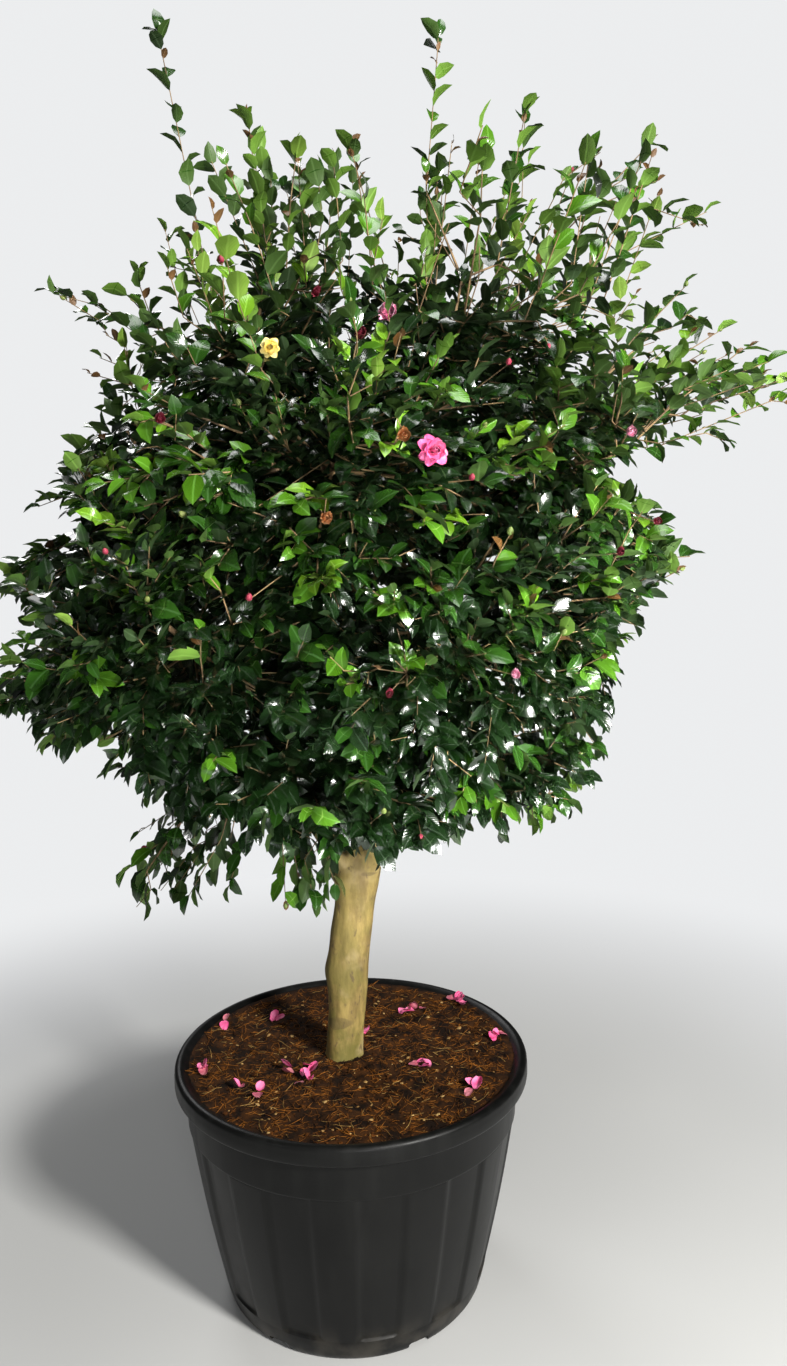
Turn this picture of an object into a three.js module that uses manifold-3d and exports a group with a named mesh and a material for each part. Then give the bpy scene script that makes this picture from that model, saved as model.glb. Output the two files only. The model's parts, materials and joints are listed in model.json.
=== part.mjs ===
// A standard camellia in its nursery pot: a bare leaning trunk that forks into three stems, a round
// leafy crown with long young shoots, and a fluted black container filled with fibrous compost.
// Millimetres, +Z up, -Y is the front. The origin is the centre of the pot's flat underside.

import * as THREE from 'three';
import { mergeVertices } from 'three/addons/utils/BufferGeometryUtils.js';
import Module from 'manifold-3d';

const wasm = await Module();
wasm.setup();

// ---------------------------------------------------------------- driving dimensions

const CLEAR = 0.3; // gap between two pieces that touch
const FINEST = 0.05; // smallest detail that a joined solid keeps

const POT = {
  baseRadius: 250,
  bandRadius: 318, // smooth band above the flutes
  lipRadius: 340,
  height: 449,
  lipBottom: 413,
  bandBottom: 342,
  fluteBottom: 42,
  fluteDepth: 4.5,
  flutes: 12,
  fluteStart: 3, // degrees from the front to the first edge
  wall: 7,
  floor: 20,
};

const NOTCH = { count: 6, start: -31, width: 42, height: 14, depth: 17 }; // drain notches in the foot

const SOIL = { level: 420, unevenness: 7, flatRadius: 90 };

// trunk: height, centre x, radius, from the flat cut at soil level to the rounded head at the fork
const TRUNK = [
  [420.3, -17, 43],
  [438, -16, 38.5],
  [480, -13, 36.5],
  [546, -8, 37],
  [600, -6, 39.5],
  [625, -4, 39],
  [687, 3, 39.5],
  [745, 12, 38.5],
  [785, 16, 43],
  [818, 22, 42],
  [843, 30, 34],
  [858, 36, 22],
];
const TRUNK_SIDES = 14;
const FOOT = { x: TRUNK[0][1], y: 0 }; // where the trunk meets the soil

// the three stems above the fork: the points they pass, and the radius at foot and tip
const STEMS = {
  right: { radii: [18, 8], path: [[38, 0, 815], [82, -6, 895], [122, -24, 1040], [135, -30, 1300], [112, -18, 1590]] },
  left: { radii: [17, 8], path: [[10, -4, 790], [-42, -14, 866], [-104, -26, 1010], [-120, -20, 1270], [-92, -6, 1570]] },
  back: { radii: [16, 8], path: [[24, 8, 805], [26, 62, 885], [22, 120, 1030], [18, 132, 1290], [22, 104, 1580]] },
};

const STEM_STEPS = 14;
const STEM_SIDES = 7;

const CROWN = { x: 15, y: 0, z: 1370 }; // centre of the leafy crown

// outline of the leafy crown: height, leftmost x, rightmost x, half depth
const OUTLINE = [
  [770, -190, 70, 150],
  [880, -330, 370, 340],
  [1000, -530, 480, 490],
  [1110, -660, 520, 560],
  [1300, -660, 570, 620],
  [1400, -640, 660, 620],
  [1500, -570, 590, 600],
  [1640, -490, 620, 550],
  [1780, -400, 580, 470],
  [1880, -310, 500, 370],
  [1950, -60, 260, 150],
];

// rings of foliage: height and radius of the sites, how much of the outline the core fills, and
// the direction of each mass in degrees from +X. A mass's space is all that lies nearest its site.
const RINGS = {
  low: { height: 960, radius: 330, core: 0.78, sides: { front: -97, right: -25, back_right: 47, back_left: 119, left: 191 } },
  middle: { height: 1235, radius: 400, core: 0.86, sides: { front_left: -125, front_right: -65, right: -5, back_right: 55, back_left: 115, left: 175 } },
  upper: { height: 1530, radius: 370, core: 0.86, sides: { front: -92, right: -20, back_right: 52, back_left: 124, left: 196 } },
  top: { height: 1800, radius: 230, core: 0.82, sides: { front_left: -135, front_right: -45, back_right: 45, back_left: 135 } },
};
const COLUMN = 125; // radius of the leafless middle of the crown, where the stems rise
const CELL_MARGIN = 1; // half the gap between two masses
const CORE_MARGIN = 13; // how far a core stays inside its mass's own space
const HEART_GRID = 45; // spacing of the points whose mean is a mass's heart

// long young shoots that stand out of the crown: tip x, y, z
const SHOOTS = [
  [-306, -40, 2341],
  [-170, 90, 2262],
  [-62, -90, 2127],
  [28, 60, 2201],
  [189, -20, 2340],
  [276, 130, 2207],
  [338, -70, 2197],
  [497, 50, 2165],
  [551, -130, 2111],
  [613, 60, 2118],
  [672, -40, 2024],
  [707, 90, 1869],
  [746, -90, 1781],
  [850, 10, 1697],
  [695, -120, 1613],
  [-392, 60, 1970],
  [-517, -50, 1899],
  [120, 300, 2120],
  [-180, 330, 2050],
  [330, 380, 1990],
  [-401, -90, 783],
];
const SHOOT_STEP = 80; // distance between the leaves of a shoot

const TIPS = 116; // twig ends spread over the crown
const TIP_DEPTH = 92; // how far a twig end lies inside the outline
const TIP_WANDER = 22;
const MIDDLE_SHARE = 0.62; // where a twig of the second order divides, from heart to tip
const PATH_WEIGHT = 0.35; // how much a long way back to the stem counts when a twig picks its parent
const NEAREST = 24; // shortest step of a twig
const STRAIGHT = 0.6; // cosine of the sharpest bend inside one run of twig

const LEAF = { length: 134, width: 64, thick: 5, fold: 7, droop: 12 };
const SHOOT_LEAF = { length: 84, width: 38, thick: 3.6, fold: 5, droop: 6 };
const TWIG = { tip: 2.6, power: 0.42, thickest: 7.2 };
const STEM_START = 26; // straight first length of each mass's stem
const BOUGH = { root: 10, tip: 7.4, below: 215, steps: 5, sides: 5 };
const BLOOM_RADIUS = 29;

// open blooms: x and z of each on the crown's front or back
const BLOOMS = [
  { x: 148, z: 1531, side: -1 },
  { x: 86, z: 1740, side: -1 },
  { x: -80, z: 1690, side: -1 },
  { x: -180, z: 1180, side: -1 },
  { x: 330, z: 1290, side: 1 },
  { x: -250, z: 1480, side: 1 },
  { x: 90, z: 1640, side: 1 },
];

const LOOKS = {
  pot: { color: 0x26282a, roughness: 0.5 },
  soil: { color: 0x5b3216, roughness: 0.95 },
  bark: { color: 0xb09a70, roughness: 0.85 },
  foliage: { color: 0x2c5a1f, roughness: 0.35 },
};

// ---------------------------------------------------------------- small helpers

const TURN = Math.PI * 2;
const GOLDEN_ANGLE = Math.PI * (3 - Math.sqrt(5));
const radians = (degrees) => (degrees * Math.PI) / 180;
const vec = (x, y, z) => new THREE.Vector3(x, y, z);
const UP = vec(0, 0, 1);
const CENTRE = vec(CROWN.x, CROWN.y, CROWN.z);

function seeded(seed) {
  let state = seed >>> 0;
  return () => {
    state = (state + 0x6d2b79f5) >>> 0;
    let mixed = Math.imul(state ^ (state >>> 15), state | 1);
    mixed ^= mixed + Math.imul(mixed ^ (mixed >>> 7), mixed | 61);
    return ((mixed ^ (mixed >>> 14)) >>> 0) / 4294967296;
  };
}

function across(direction) {
  const helper = Math.abs(direction.z) < 0.9 ? UP : vec(1, 0, 0);
  return helper.clone().cross(direction).normalize();
}

function between(table, key, column) {
  const last = table.length - 1;
  if (key <= table[0][0]) return table[0][column];
  if (key >= table[last][0]) return table[last][column];
  const row = table.findIndex((entry) => entry[0] > key);
  const share = (key - table[row - 1][0]) / (table[row][0] - table[row - 1][0]);
  return THREE.MathUtils.lerp(table[row - 1][column], table[row][column], share);
}

// distance between two straight segments
function segmentGap(a, b, c, d) {
  const u = b.clone().sub(a);
  const v = d.clone().sub(c);
  const w = a.clone().sub(c);
  const uu = u.dot(u);
  const vv = v.dot(v);
  const uv = u.dot(v);
  const uw = u.dot(w);
  const vw = v.dot(w);
  const spread = uu * vv - uv * uv;
  let s = spread > 1e-9 ? THREE.MathUtils.clamp((uv * vw - vv * uw) / spread, 0, 1) : 0;
  const t = THREE.MathUtils.clamp((uv * s + vw) / vv, 0, 1);
  s = THREE.MathUtils.clamp((uv * t - uw) / uu, 0, 1);
  return a.clone().addScaledVector(u, s).distanceTo(c.clone().addScaledVector(v, t));
}

// ---------------------------------------------------------------- solids

function closedGeometry(positions, index) {
  const geometry = new THREE.BufferGeometry();
  geometry.setAttribute('position', new THREE.Float32BufferAttribute(positions, 3));
  geometry.setIndex(index);
  return geometry;
}

function solidOf(geometry) {
  const bare = geometry.clone();
  bare.deleteAttribute('normal');
  bare.deleteAttribute('uv');
  const merged = mergeVertices(bare, 1e-4);
  return new wasm.Manifold(new wasm.Mesh({
    numProp: 3,
    vertProperties: new Float32Array(merged.attributes.position.array),
    triVerts: new Uint32Array(merged.index.array),
  }));
}

function geometryOf(solid) {
  const mesh = solid.getMesh();
  const geometry = closedGeometry(Array.from(mesh.vertProperties), Array.from(mesh.triVerts));
  geometry.computeVertexNormals();
  return geometry;
}

// the largest body of a solid, with the shortest edges closed up, without scraps or sealed hollows
function mainBody(solid) {
  let body = solid.simplify(FINEST);
  let count = 2;
  while (count > 1) {
    const bodies = solidOf(geometryOf(body)).decompose();
    count = bodies.length;
    body = bodies.reduce((best, part) => (part.volume() > best.volume() ? part : best));
  }
  return body;
}

// a closed skin over rings of equally many points, with flat ends
function skin(rings) {
  const sides = rings[0].length;
  const last = rings.length - 1;
  const positions = rings.flat().flatMap((point) => [point.x, point.y, point.z]);
  const index = [];
  for (let ring = 0; ring < last; ring += 1) {
    for (let k = 0; k < sides; k += 1) {
      const a = ring * sides + k;
      const b = ring * sides + ((k + 1) % sides);
      index.push(a, b, b + sides, a, b + sides, a + sides);
    }
  }
  for (let k = 1; k < sides - 1; k += 1) {
    index.push(0, k + 1, k);
    index.push(last * sides, last * sides + k, last * sides + k + 1);
  }
  return closedGeometry(positions, index);
}

// a tube of changing radius through points
function tube(points, radii, sides) {
  const last = points.length - 1;
  let normal = null;
  const rings = points.map((point, i) => {
    const tangent = points[Math.min(i + 1, last)].clone().sub(points[Math.max(i - 1, 0)]).normalize();
    normal = normal ? normal.addScaledVector(tangent, -normal.dot(tangent)).normalize() : across(tangent);
    const binormal = tangent.clone().cross(normal);
    return Array.from({ length: sides }, (_, k) => {
      const angle = (TURN * k) / sides;
      return point.clone()
        .addScaledVector(normal, Math.cos(angle) * radii[i])
        .addScaledVector(binormal, Math.sin(angle) * radii[i]);
    });
  });
  return skin(rings);
}

// a limb made fatter and longer by a clearance, to cut its neighbours clear of it
function swollen(limb, clearance, sides) {
  const points = limb.points.map((point) => point.clone());
  const last = points.length - 1;
  points[0].addScaledVector(points[1].clone().sub(points[0]).normalize(), -clearance);
  points[last].addScaledVector(points[last].clone().sub(points[last - 1]).normalize(), clearance);
  return solidOf(tube(points, limb.radii.map((radius) => radius + clearance), sides));
}

// ---------------------------------------------------------------- pot and soil

const STEPS = POT.flutes * 4; // points round each ring of the pot

function potAngles() {
  const panel = TURN / (POT.flutes * 2);
  const slope = panel * 0.12;
  const start = radians(POT.fluteStart - 90);
  return Array.from({ length: STEPS }, (_, k) => start + Math.floor(k / 2) * panel + (k % 2) * slope);
}
const POT_ANGLES = potAngles();

// the first point of each pair ends a raised panel or a recess, the second starts the next one
function raisedAt(k) {
  const panel = Math.floor(((k + STEPS - 1) % STEPS) / 2);
  return panel % 2 === 1;
}

function potRing(radius, height, fluted) {
  return POT_ANGLES.map((angle, k) => {
    const r = fluted && !raisedAt(k) ? radius - POT.fluteDepth : radius;
    return vec(Math.cos(angle) * r, Math.sin(angle) * r, height);
  });
}

function bodyRadius(height) {
  const share = height / POT.bandBottom;
  return THREE.MathUtils.lerp(POT.baseRadius, POT.bandRadius - 3, share) + 4 * Math.sin(Math.PI * share);
}

function innerRadius(height) {
  const share = (height - POT.floor) / (POT.height - POT.floor);
  return THREE.MathUtils.lerp(POT.baseRadius - 3, POT.lipRadius - 28, share) - POT.wall;
}

function makePot() {
  const { baseRadius, bandRadius, lipRadius, height, lipBottom, bandBottom, fluteBottom, floor } = POT;
  const rings = [
    potRing(baseRadius - 4, 0, false),
    potRing(bodyRadius(10) - 1, 8, false),
    potRing(bodyRadius(fluteBottom), fluteBottom, false),
    potRing(bodyRadius(fluteBottom + 5), fluteBottom + 5, true),
    potRing(bodyRadius(bandBottom - 4), bandBottom - 4, true),
    potRing(bandRadius - 2, bandBottom, false),
    potRing(bandRadius + 4, lipBottom, false),
    potRing(lipRadius - 4, lipBottom + 1, false),
    potRing(lipRadius, lipBottom + 7, false),
    potRing(lipRadius, height - 13, false),
    potRing(lipRadius - 5, height - 4, false),
    potRing(lipRadius - 13, height, false),
    potRing(lipRadius - 22, height - 4, false),
    potRing(innerRadius(height - 18), height - 18, false),
    potRing(innerRadius(floor), floor, false),
  ];
  const shell = solidOf(skin(rings));
  const box = new THREE.BoxGeometry(NOTCH.depth * 2, NOTCH.width, NOTCH.height * 2);
  const notches = Array.from({ length: NOTCH.count }, (_, i) => {
    const angle = radians(NOTCH.start - 90) + (TURN * i) / NOTCH.count;
    const cutter = box.clone().rotateZ(angle);
    return solidOf(cutter.translate(Math.cos(angle) * baseRadius, Math.sin(angle) * baseRadius, 0));
  });
  return mainBody(shell.subtract(wasm.Manifold.union(notches)));
}

// height of the compost: flat round the trunk, gently uneven elsewhere
function soilHeight(x, y) {
  const away = Math.hypot(x - FOOT.x, y - FOOT.y);
  if (away < SOIL.flatRadius + 1) return SOIL.level;
  const wave = Math.sin(x / 47 + 1.3) * Math.cos(y / 39 + 0.4) + 0.6 * Math.sin((x + y) / 21);
  return SOIL.level - 3 + wave * SOIL.unevenness * 0.5;
}

function makeSoil() {
  const edge = SOIL.level - 7;
  const side = (height) => potRing(innerRadius(height) - CLEAR * 1.2, height, false);
  const rings = [side(POT.floor + CLEAR), side(edge)];
  const shares = [0.84, 0.58];
  shares.forEach((share) => {
    const radius = innerRadius(edge) * share;
    rings.push(POT_ANGLES.map((angle) => {
      const x = Math.cos(angle) * radius + FOOT.x * (1 - share);
      const y = Math.sin(angle) * radius + FOOT.y * (1 - share);
      return vec(x, y, soilHeight(x, y));
    }));
  });
  rings.push(POT_ANGLES.map((angle) => vec(
    FOOT.x + Math.cos(angle) * SOIL.flatRadius,
    FOOT.y + Math.sin(angle) * SOIL.flatRadius,
    SOIL.level,
  )));
  return solidOf(skin(rings));
}

// ---------------------------------------------------------------- trunk and stems

// the trunk's skin, or one that stands off it by a clearance
function trunkSkin(clearance) {
  const foot = TRUNK[0][0];
  const head = TRUNK[TRUNK.length - 1][0];
  const rings = TRUNK.map(([height, x, radius]) => Array.from({ length: TRUNK_SIDES }, (_, k) => {
    const angle = (TURN * k) / TRUNK_SIDES;
    const rise = height - foot;
    const root = 5 * Math.exp(-rise / 18) * Math.cos(4 * angle + 0.6);
    const flute = 1.6 * Math.cos(3 * angle + rise / 190);
    const knot = 6 * Math.exp(-(((height - 612) / 24) ** 2)) * Math.max(0, -Math.cos(angle)) ** 3;
    const r = radius + root + flute + knot + clearance;
    const lift = height === head ? clearance : 0;
    return vec(x + Math.cos(angle) * r, Math.sin(angle) * r * 0.97, height + lift);
  }));
  return skin(rings);
}

function stemCurve(path) {
  return new THREE.CatmullRomCurve3(path.map(([x, y, z]) => vec(x, y, z)), false, 'centripetal');
}

function limbAlong(curve, steps, radii) {
  const points = curve.getPoints(steps);
  return {
    points,
    radii: points.map((_, i) => THREE.MathUtils.lerp(radii[0], radii[1], (i / steps) ** 0.8)),
  };
}

const trunkLimb = {
  points: TRUNK.map(([height, x]) => vec(x, 0, height)),
  radii: TRUNK.map(([, , radius]) => radius + 5),
};
const stems = Object.fromEntries(Object.entries(STEMS).map(([name, stem]) => (
  [name, limbAlong(stemCurve(stem.path), STEM_STEPS, stem.radii)]
)));

// ---------------------------------------------------------------- the crown's outline and spaces

function inOutline(point, scale) {
  const x = CENTRE.x + (point.x - CENTRE.x) / scale;
  const y = CENTRE.y + (point.y - CENTRE.y) / scale;
  const z = CENTRE.z + (point.z - CENTRE.z) / scale;
  if (z < OUTLINE[0][0] || z > OUTLINE[OUTLINE.length - 1][0]) return false;
  const left = between(OUTLINE, z, 1);
  const right = between(OUTLINE, z, 2);
  const halfDepth = between(OUTLINE, z, 3);
  return ((2 * x - left - right) / (right - left)) ** 2 + (y / halfDepth) ** 2 < 1;
}

// distance from the crown's centre to its outline
function reach(direction) {
  let near = 0;
  let far = 1200;
  for (let step = 0; step < 14; step += 1) {
    const middle = (near + far) / 2;
    if (inOutline(CENTRE.clone().addScaledVector(direction, middle), 1)) near = middle;
    else far = middle;
  }
  return near;
}

const masses = Object.entries(RINGS).flatMap(([ring, { height, radius, core, sides }]) => (
  Object.entries(sides).map(([side, degrees]) => ({
    name: `${ring}_${side}`,
    core,
    site: vec(
      CROWN.x + Math.cos(radians(degrees)) * radius,
      CROWN.y + Math.sin(radians(degrees)) * radius,
      height,
    ),
  }))
));

function inSpace(mass, point, margin) {
  return masses.every((other) => {
    if (other === mass) return true;
    const away = other.site.clone().sub(mass.site);
    const half = away.length() / 2;
    return point.clone().sub(mass.site).dot(away.normalize()) < half - margin;
  });
}

function massAt(point) {
  return masses.reduce((best, mass) => (
    mass.site.distanceTo(point) < best.site.distanceTo(point) ? mass : best
  ));
}

function inCore(mass, point) {
  const fromMiddle = Math.hypot(point.x - CROWN.x, point.y - CROWN.y);
  return fromMiddle > COLUMN && inOutline(point, mass.core) && inSpace(mass, point, CORE_MARGIN);
}

// the heart is the middle of the room that the mass's core can fill
masses.forEach((mass) => {
  const sum = vec(0, 0, 0);
  let count = 0;
  for (let x = -700; x < 700; x += HEART_GRID) {
    for (let y = -700; y < 700; y += HEART_GRID) {
      for (let z = OUTLINE[0][0]; z < 2000; z += HEART_GRID) {
        const point = vec(x, y, z);
        if (inCore(mass, point)) {
          sum.add(point);
          count += 1;
        }
      }
    }
  }
  mass.heart = sum.divideScalar(count);
});

// distance from a mass's heart to the skin of its core
function coreReach(mass, direction) {
  let distance = 0;
  const point = mass.heart.clone();
  while (distance < 400 && inCore(mass, point.addScaledVector(direction, 6))) distance += 6;
  return Math.max(distance, 12);
}

// ---------------------------------------------------------------- boughs

// places on the stems where a bough can start, each used once
const budPlaces = Object.values(stems).flatMap((stem) => (
  stem.points.map((point, i) => ({ stem, point, i })).slice(3, STEM_STEPS)
));

// each bough leaves the nearest stem well below its mass and rises to meet the mass's own stem
function makeBough(mass) {
  const wanted = mass.heart.clone().addScaledVector(UP, -BOUGH.below);
  budPlaces.sort((a, b) => b.point.distanceTo(wanted) - a.point.distanceTo(wanted));
  const start = budPlaces.pop();
  const inward = start.point.clone().sub(mass.heart).normalize();
  const end = mass.heart.clone().addScaledVector(inward, coreReach(mass, inward) + 16);
  const span = end.distanceTo(start.point);
  const outward = end.clone().sub(start.point).normalize();
  const leave = outward.clone().multiplyScalar(0.8).addScaledVector(UP, 0.6).normalize();
  const curve = new THREE.CubicBezierCurve3(
    start.point,
    start.point.clone().addScaledVector(leave, span * 0.4),
    end.clone().addScaledVector(inward, span * 0.3),
    end,
  );
  const root = Math.min(BOUGH.root, start.stem.radii[start.i] * 0.86);
  return limbAlong(curve, BOUGH.steps, [root, BOUGH.tip]);
}

masses.forEach((mass) => {
  mass.bough = makeBough(mass);
});
const limbs = [trunkLimb, ...Object.values(stems), ...masses.map((mass) => mass.bough)];

function clearOfLimbs(a, b, halfWidth) {
  return limbs.every((limb) => limb.points.every((point, i) => {
    if (i === 0) return true;
    const thick = Math.max(limb.radii[i - 1], limb.radii[i]);
    return segmentGap(a, b, limb.points[i - 1], point) > thick + halfWidth + 1;
  }));
}

// ---------------------------------------------------------------- twigs

// places that the twigs of the whole crown grow towards, dealt out to the masses
function growthPlaces() {
  const random = seeded(41);
  const places = [];
  for (let i = 0; i < TIPS; i += 1) {
    const z = 1 - (2 * i + 1) / TIPS;
    const angle = i * GOLDEN_ANGLE + (random() - 0.5) * 0.16;
    const flat = Math.sqrt(1 - z * z);
    const direction = vec(Math.cos(angle) * flat, Math.sin(angle) * flat, z);
    const depth = TIP_DEPTH + (random() - 0.5) * 2 * TIP_WANDER;
    const point = CENTRE.clone().addScaledVector(direction, reach(direction) - depth);
    const mass = massAt(point);
    places.push({ mass, point, kind: 'tip' });
    if (i % 3 === 0) places.push({ mass, point: mass.heart.clone().lerp(point, MIDDLE_SHARE), kind: 'fork' });
  }
  return places;
}

// a shoot rises steeply at the top of the crown and leans outwards lower down
function shootPlaces() {
  const random = seeded(97);
  return SHOOTS.flatMap(([x, y, z]) => {
    const tip = vec(x, y, z);
    const mass = massAt(tip);
    const lean = THREE.MathUtils.clamp((z - 1650) / 450, 0, 1);
    const source = vec(CROWN.x, CROWN.y, z < CROWN.z ? CROWN.z : THREE.MathUtils.lerp(1480, 500, lean));
    const inward = source.sub(tip).normalize();
    tip.addScaledVector(inward, SHOOT_LEAF.length * 0.75);
    const bend = across(inward).multiplyScalar((random() - 0.5) * 50);
    const places = [{ mass, point: tip, kind: 'shoot_end' }];
    for (let step = 1; step < 9; step += 1) {
      const point = tip.clone().addScaledVector(inward, step * SHOOT_STEP);
      point.addScaledVector(bend, Math.sin(step * 0.9) * Math.min(1, step / 3));
      if (inOutline(point, 0.86) || !inSpace(mass, point, 12)) break;
      places.push({ mass, point, kind: 'shoot' });
    }
    return places;
  });
}

function bloomPlaces() {
  return BLOOMS.map(({ x, z, side }) => {
    const halfDepth = between(OUTLINE, z, 3);
    const left = between(OUTLINE, z, 1);
    const right = between(OUTLINE, z, 2);
    const share = (2 * x - left - right) / (right - left);
    const y = side * (halfDepth * Math.sqrt(1 - share * share) - 12);
    const point = vec(x, y, z);
    return { mass: massAt(point), point, kind: 'bloom' };
  });
}

const places = [...growthPlaces(), ...shootPlaces(), ...bloomPlaces()];

// The rule: places are taken in order of their distance from the foot of the mass's stem. Each is
// joined to the twig point that is near it and has a short way back to the foot.
function growTwigs(mass) {
  const { points } = mass.bough;
  const last = points.length - 1;
  const forward = points[last].clone().sub(points[last - 1]).normalize();
  const foot = points[last].clone().addScaledVector(forward, CLEAR);
  const knees = [
    { point: foot, parent: null, way: 0 },
    { point: foot.clone().addScaledVector(forward, STEM_START), way: STEM_START },
    { point: mass.heart },
  ];
  knees[1].parent = knees[0];
  knees[2].parent = knees[1];
  knees[2].way = STEM_START + knees[1].point.distanceTo(mass.heart);
  const own = places.filter((place) => place.mass === mass)
    .sort((a, b) => a.point.distanceTo(foot) - b.point.distanceTo(foot));
  own.forEach(({ point, kind }) => {
    if (!inSpace(mass, point, 8)) return;
    const parents = knees.slice(2).map((knee) => {
      const gap = knee.point.distanceTo(point);
      return { knee, gap, cost: gap + PATH_WEIGHT * knee.way };
    }).sort((a, b) => a.cost - b.cost);
    const found = parents.slice(0, 4).find(({ knee, gap }) => (
      gap > NEAREST && clearOfLimbs(knee.point, point, TWIG.thickest)
    ));
    if (!found) return;
    knees.push({ point, kind, parent: found.knee, way: found.knee.way + found.gap });
  });
  return knees;
}

function thicken(knees) {
  knees.forEach((knee) => {
    knee.ends = 0;
    knee.children = [];
  });
  knees.forEach((knee) => {
    if (knee.parent) knee.parent.children.push(knee);
  });
  [...knees].reverse().forEach((knee) => {
    knee.ends = Math.max(1, knee.ends);
    if (knee.parent) knee.parent.ends += knee.ends;
  });
  knees.forEach((knee) => {
    knee.radius = Math.min(TWIG.thickest, TWIG.tip * knee.ends ** TWIG.power);
  });
}

// runs of twig: each goes on into the child that leads straightest ahead
function twigRuns(knees) {
  const runs = [];
  const open = knees[0].children.map((child) => [knees[0], child]);
  while (open.length) {
    const run = open.pop();
    let end = run[run.length - 1];
    while (end.children.length) {
      const ahead = end.point.clone().sub(run[run.length - 2].point).normalize();
      const turn = (child) => child.point.clone().sub(end.point).normalize().dot(ahead);
      const children = [...end.children].sort((a, b) => turn(b) - turn(a));
      const straight = turn(children[0]) > STRAIGHT;
      (straight ? children.slice(1) : children).forEach((child) => open.push([end, child]));
      if (!straight) break;
      run.push(children[0]);
      end = children[0];
    }
    runs.push(run);
  }
  return runs;
}

// ---------------------------------------------------------------- leaves

function leafFrame(along, towardsLight) {
  const face = towardsLight.clone().addScaledVector(along, -towardsLight.dot(along)).normalize();
  return { face, side: face.clone().cross(along) };
}

function leafCorners(root, along, light, size) {
  const { face, side } = leafFrame(along, light);
  const middle = root.clone().addScaledVector(along, size.length * 0.45);
  return [
    root.clone(),
    root.clone().addScaledVector(along, size.length).addScaledVector(face, -size.droop),
    middle.clone().addScaledVector(side, size.width / 2).addScaledVector(face, size.fold),
    middle.clone().addScaledVector(side, -size.width / 2).addScaledVector(face, size.fold),
    middle.clone().addScaledVector(face, size.thick / 2),
    middle.clone().addScaledVector(face, -size.thick / 2),
  ];
}

const LEAF_FACES = [4, 0, 3, 4, 3, 1, 4, 1, 2, 4, 2, 0, 5, 3, 0, 5, 1, 3, 5, 2, 1, 5, 0, 2];

function addLeaf(mass, parts, root, along, light, size) {
  const corners = leafCorners(root, along, light, size);
  if (!corners.every((corner) => inSpace(mass, corner, CELL_MARGIN))) return;
  const start = root.clone().addScaledVector(along, size.length * 0.2);
  if (!clearOfLimbs(start, corners[1], size.width * 0.45)) return;
  const positions = corners.flatMap((corner) => [corner.x, corner.y, corner.z]);
  parts.push(solidOf(closedGeometry(positions, LEAF_FACES)));
}

function dressTwigs(mass, knees, parts, random) {
  knees.slice(3).forEach((knee, i) => {
    const ahead = knee.point.clone().sub(knee.parent.point).normalize();
    const outward = knee.point.clone().sub(CENTRE).normalize();
    const sag = THREE.MathUtils.clamp((1250 - knee.point.z) / 700, -0.35, 0.75);
    const light = outward.clone().multiplyScalar(0.7).addScaledVector(UP, 1);
    const first = across(ahead);
    const second = ahead.clone().cross(first);
    const lean = (angle, spread) => {
      const turned = i * GOLDEN_ANGLE + angle;
      const sideways = first.clone().multiplyScalar(Math.cos(turned));
      sideways.addScaledVector(second, Math.sin(turned));
      const along = ahead.clone().multiplyScalar(Math.cos(spread)).addScaledVector(sideways, Math.sin(spread));
      return along.addScaledVector(UP, -sag * 0.8).addScaledVector(outward, 0.25).normalize();
    };
    if (knee.kind === 'shoot') {
      addLeaf(mass, parts, knee.point, lean(random(), 0.95), light, SHOOT_LEAF);
      return;
    }
    if (knee.kind === 'shoot_end') {
      addLeaf(mass, parts, knee.point.clone().addScaledVector(ahead, -4), lean(0, 0.2), light, SHOOT_LEAF);
      addLeaf(mass, parts, knee.point.clone().addScaledVector(ahead, -12), lean(2.4, 0.9), light, SHOOT_LEAF);
      return;
    }
    if (knee.kind !== 'tip') return;
    const wobble = random() * TURN;
    addLeaf(mass, parts, knee.point.clone().addScaledVector(ahead, -4), lean(wobble, 0.25), light, LEAF);
    addLeaf(mass, parts, knee.point.clone().addScaledVector(ahead, -16), lean(wobble + 2.2, 0.95), light, LEAF);
    addLeaf(mass, parts, knee.point.clone().addScaledVector(ahead, -28), lean(wobble + 4.3, 1.05), light, LEAF);
  });
}

// ---------------------------------------------------------------- one mass of foliage

function makeCore(mass, random) {
  const ball = new THREE.IcosahedronGeometry(1, 1);
  ball.deleteAttribute('normal');
  ball.deleteAttribute('uv');
  const geometry = mergeVertices(ball, 1e-4);
  const place = geometry.attributes.position;
  for (let i = 0; i < place.count; i += 1) {
    const direction = vec(place.getX(i), place.getY(i), place.getZ(i)).normalize();
    const corner = mass.heart.clone().addScaledVector(direction, coreReach(mass, direction) * (0.86 + 0.14 * random()));
    place.setXYZ(i, corner.x, corner.y, corner.z);
  }
  const near = limbs.filter((limb) => limb.points.some((point) => point.distanceTo(mass.heart) < 420));
  return near.reduce((core, limb) => core.subtract(swollen(limb, 4, 6)), solidOf(geometry));
}

function makeFoliage(mass, order) {
  const random = seeded(1000 + order * 17);
  const knees = growTwigs(mass);
  thicken(knees);
  const parts = [mainBody(makeCore(mass, random))];
  twigRuns(knees).forEach((run) => {
    const points = run.map((knee) => knee.point);
    const radii = run.map((knee, i) => (i ? knee.radius : Math.min(knee.radius * 0.85, run[1].radius * 1.1)));
    parts.push(solidOf(tube(points, radii, 3)));
  });
  dressTwigs(mass, knees, parts, random);
  knees.filter((knee) => knee.kind === 'bloom').forEach((knee) => {
    const bloom = new THREE.IcosahedronGeometry(BLOOM_RADIUS, 0).scale(1, 0.72, 1);
    parts.push(solidOf(bloom.translate(knee.point.x, knee.point.y, knee.point.z)));
  });
  return mainBody(wasm.Manifold.union(parts));
}

// ---------------------------------------------------------------- assembly

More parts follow.
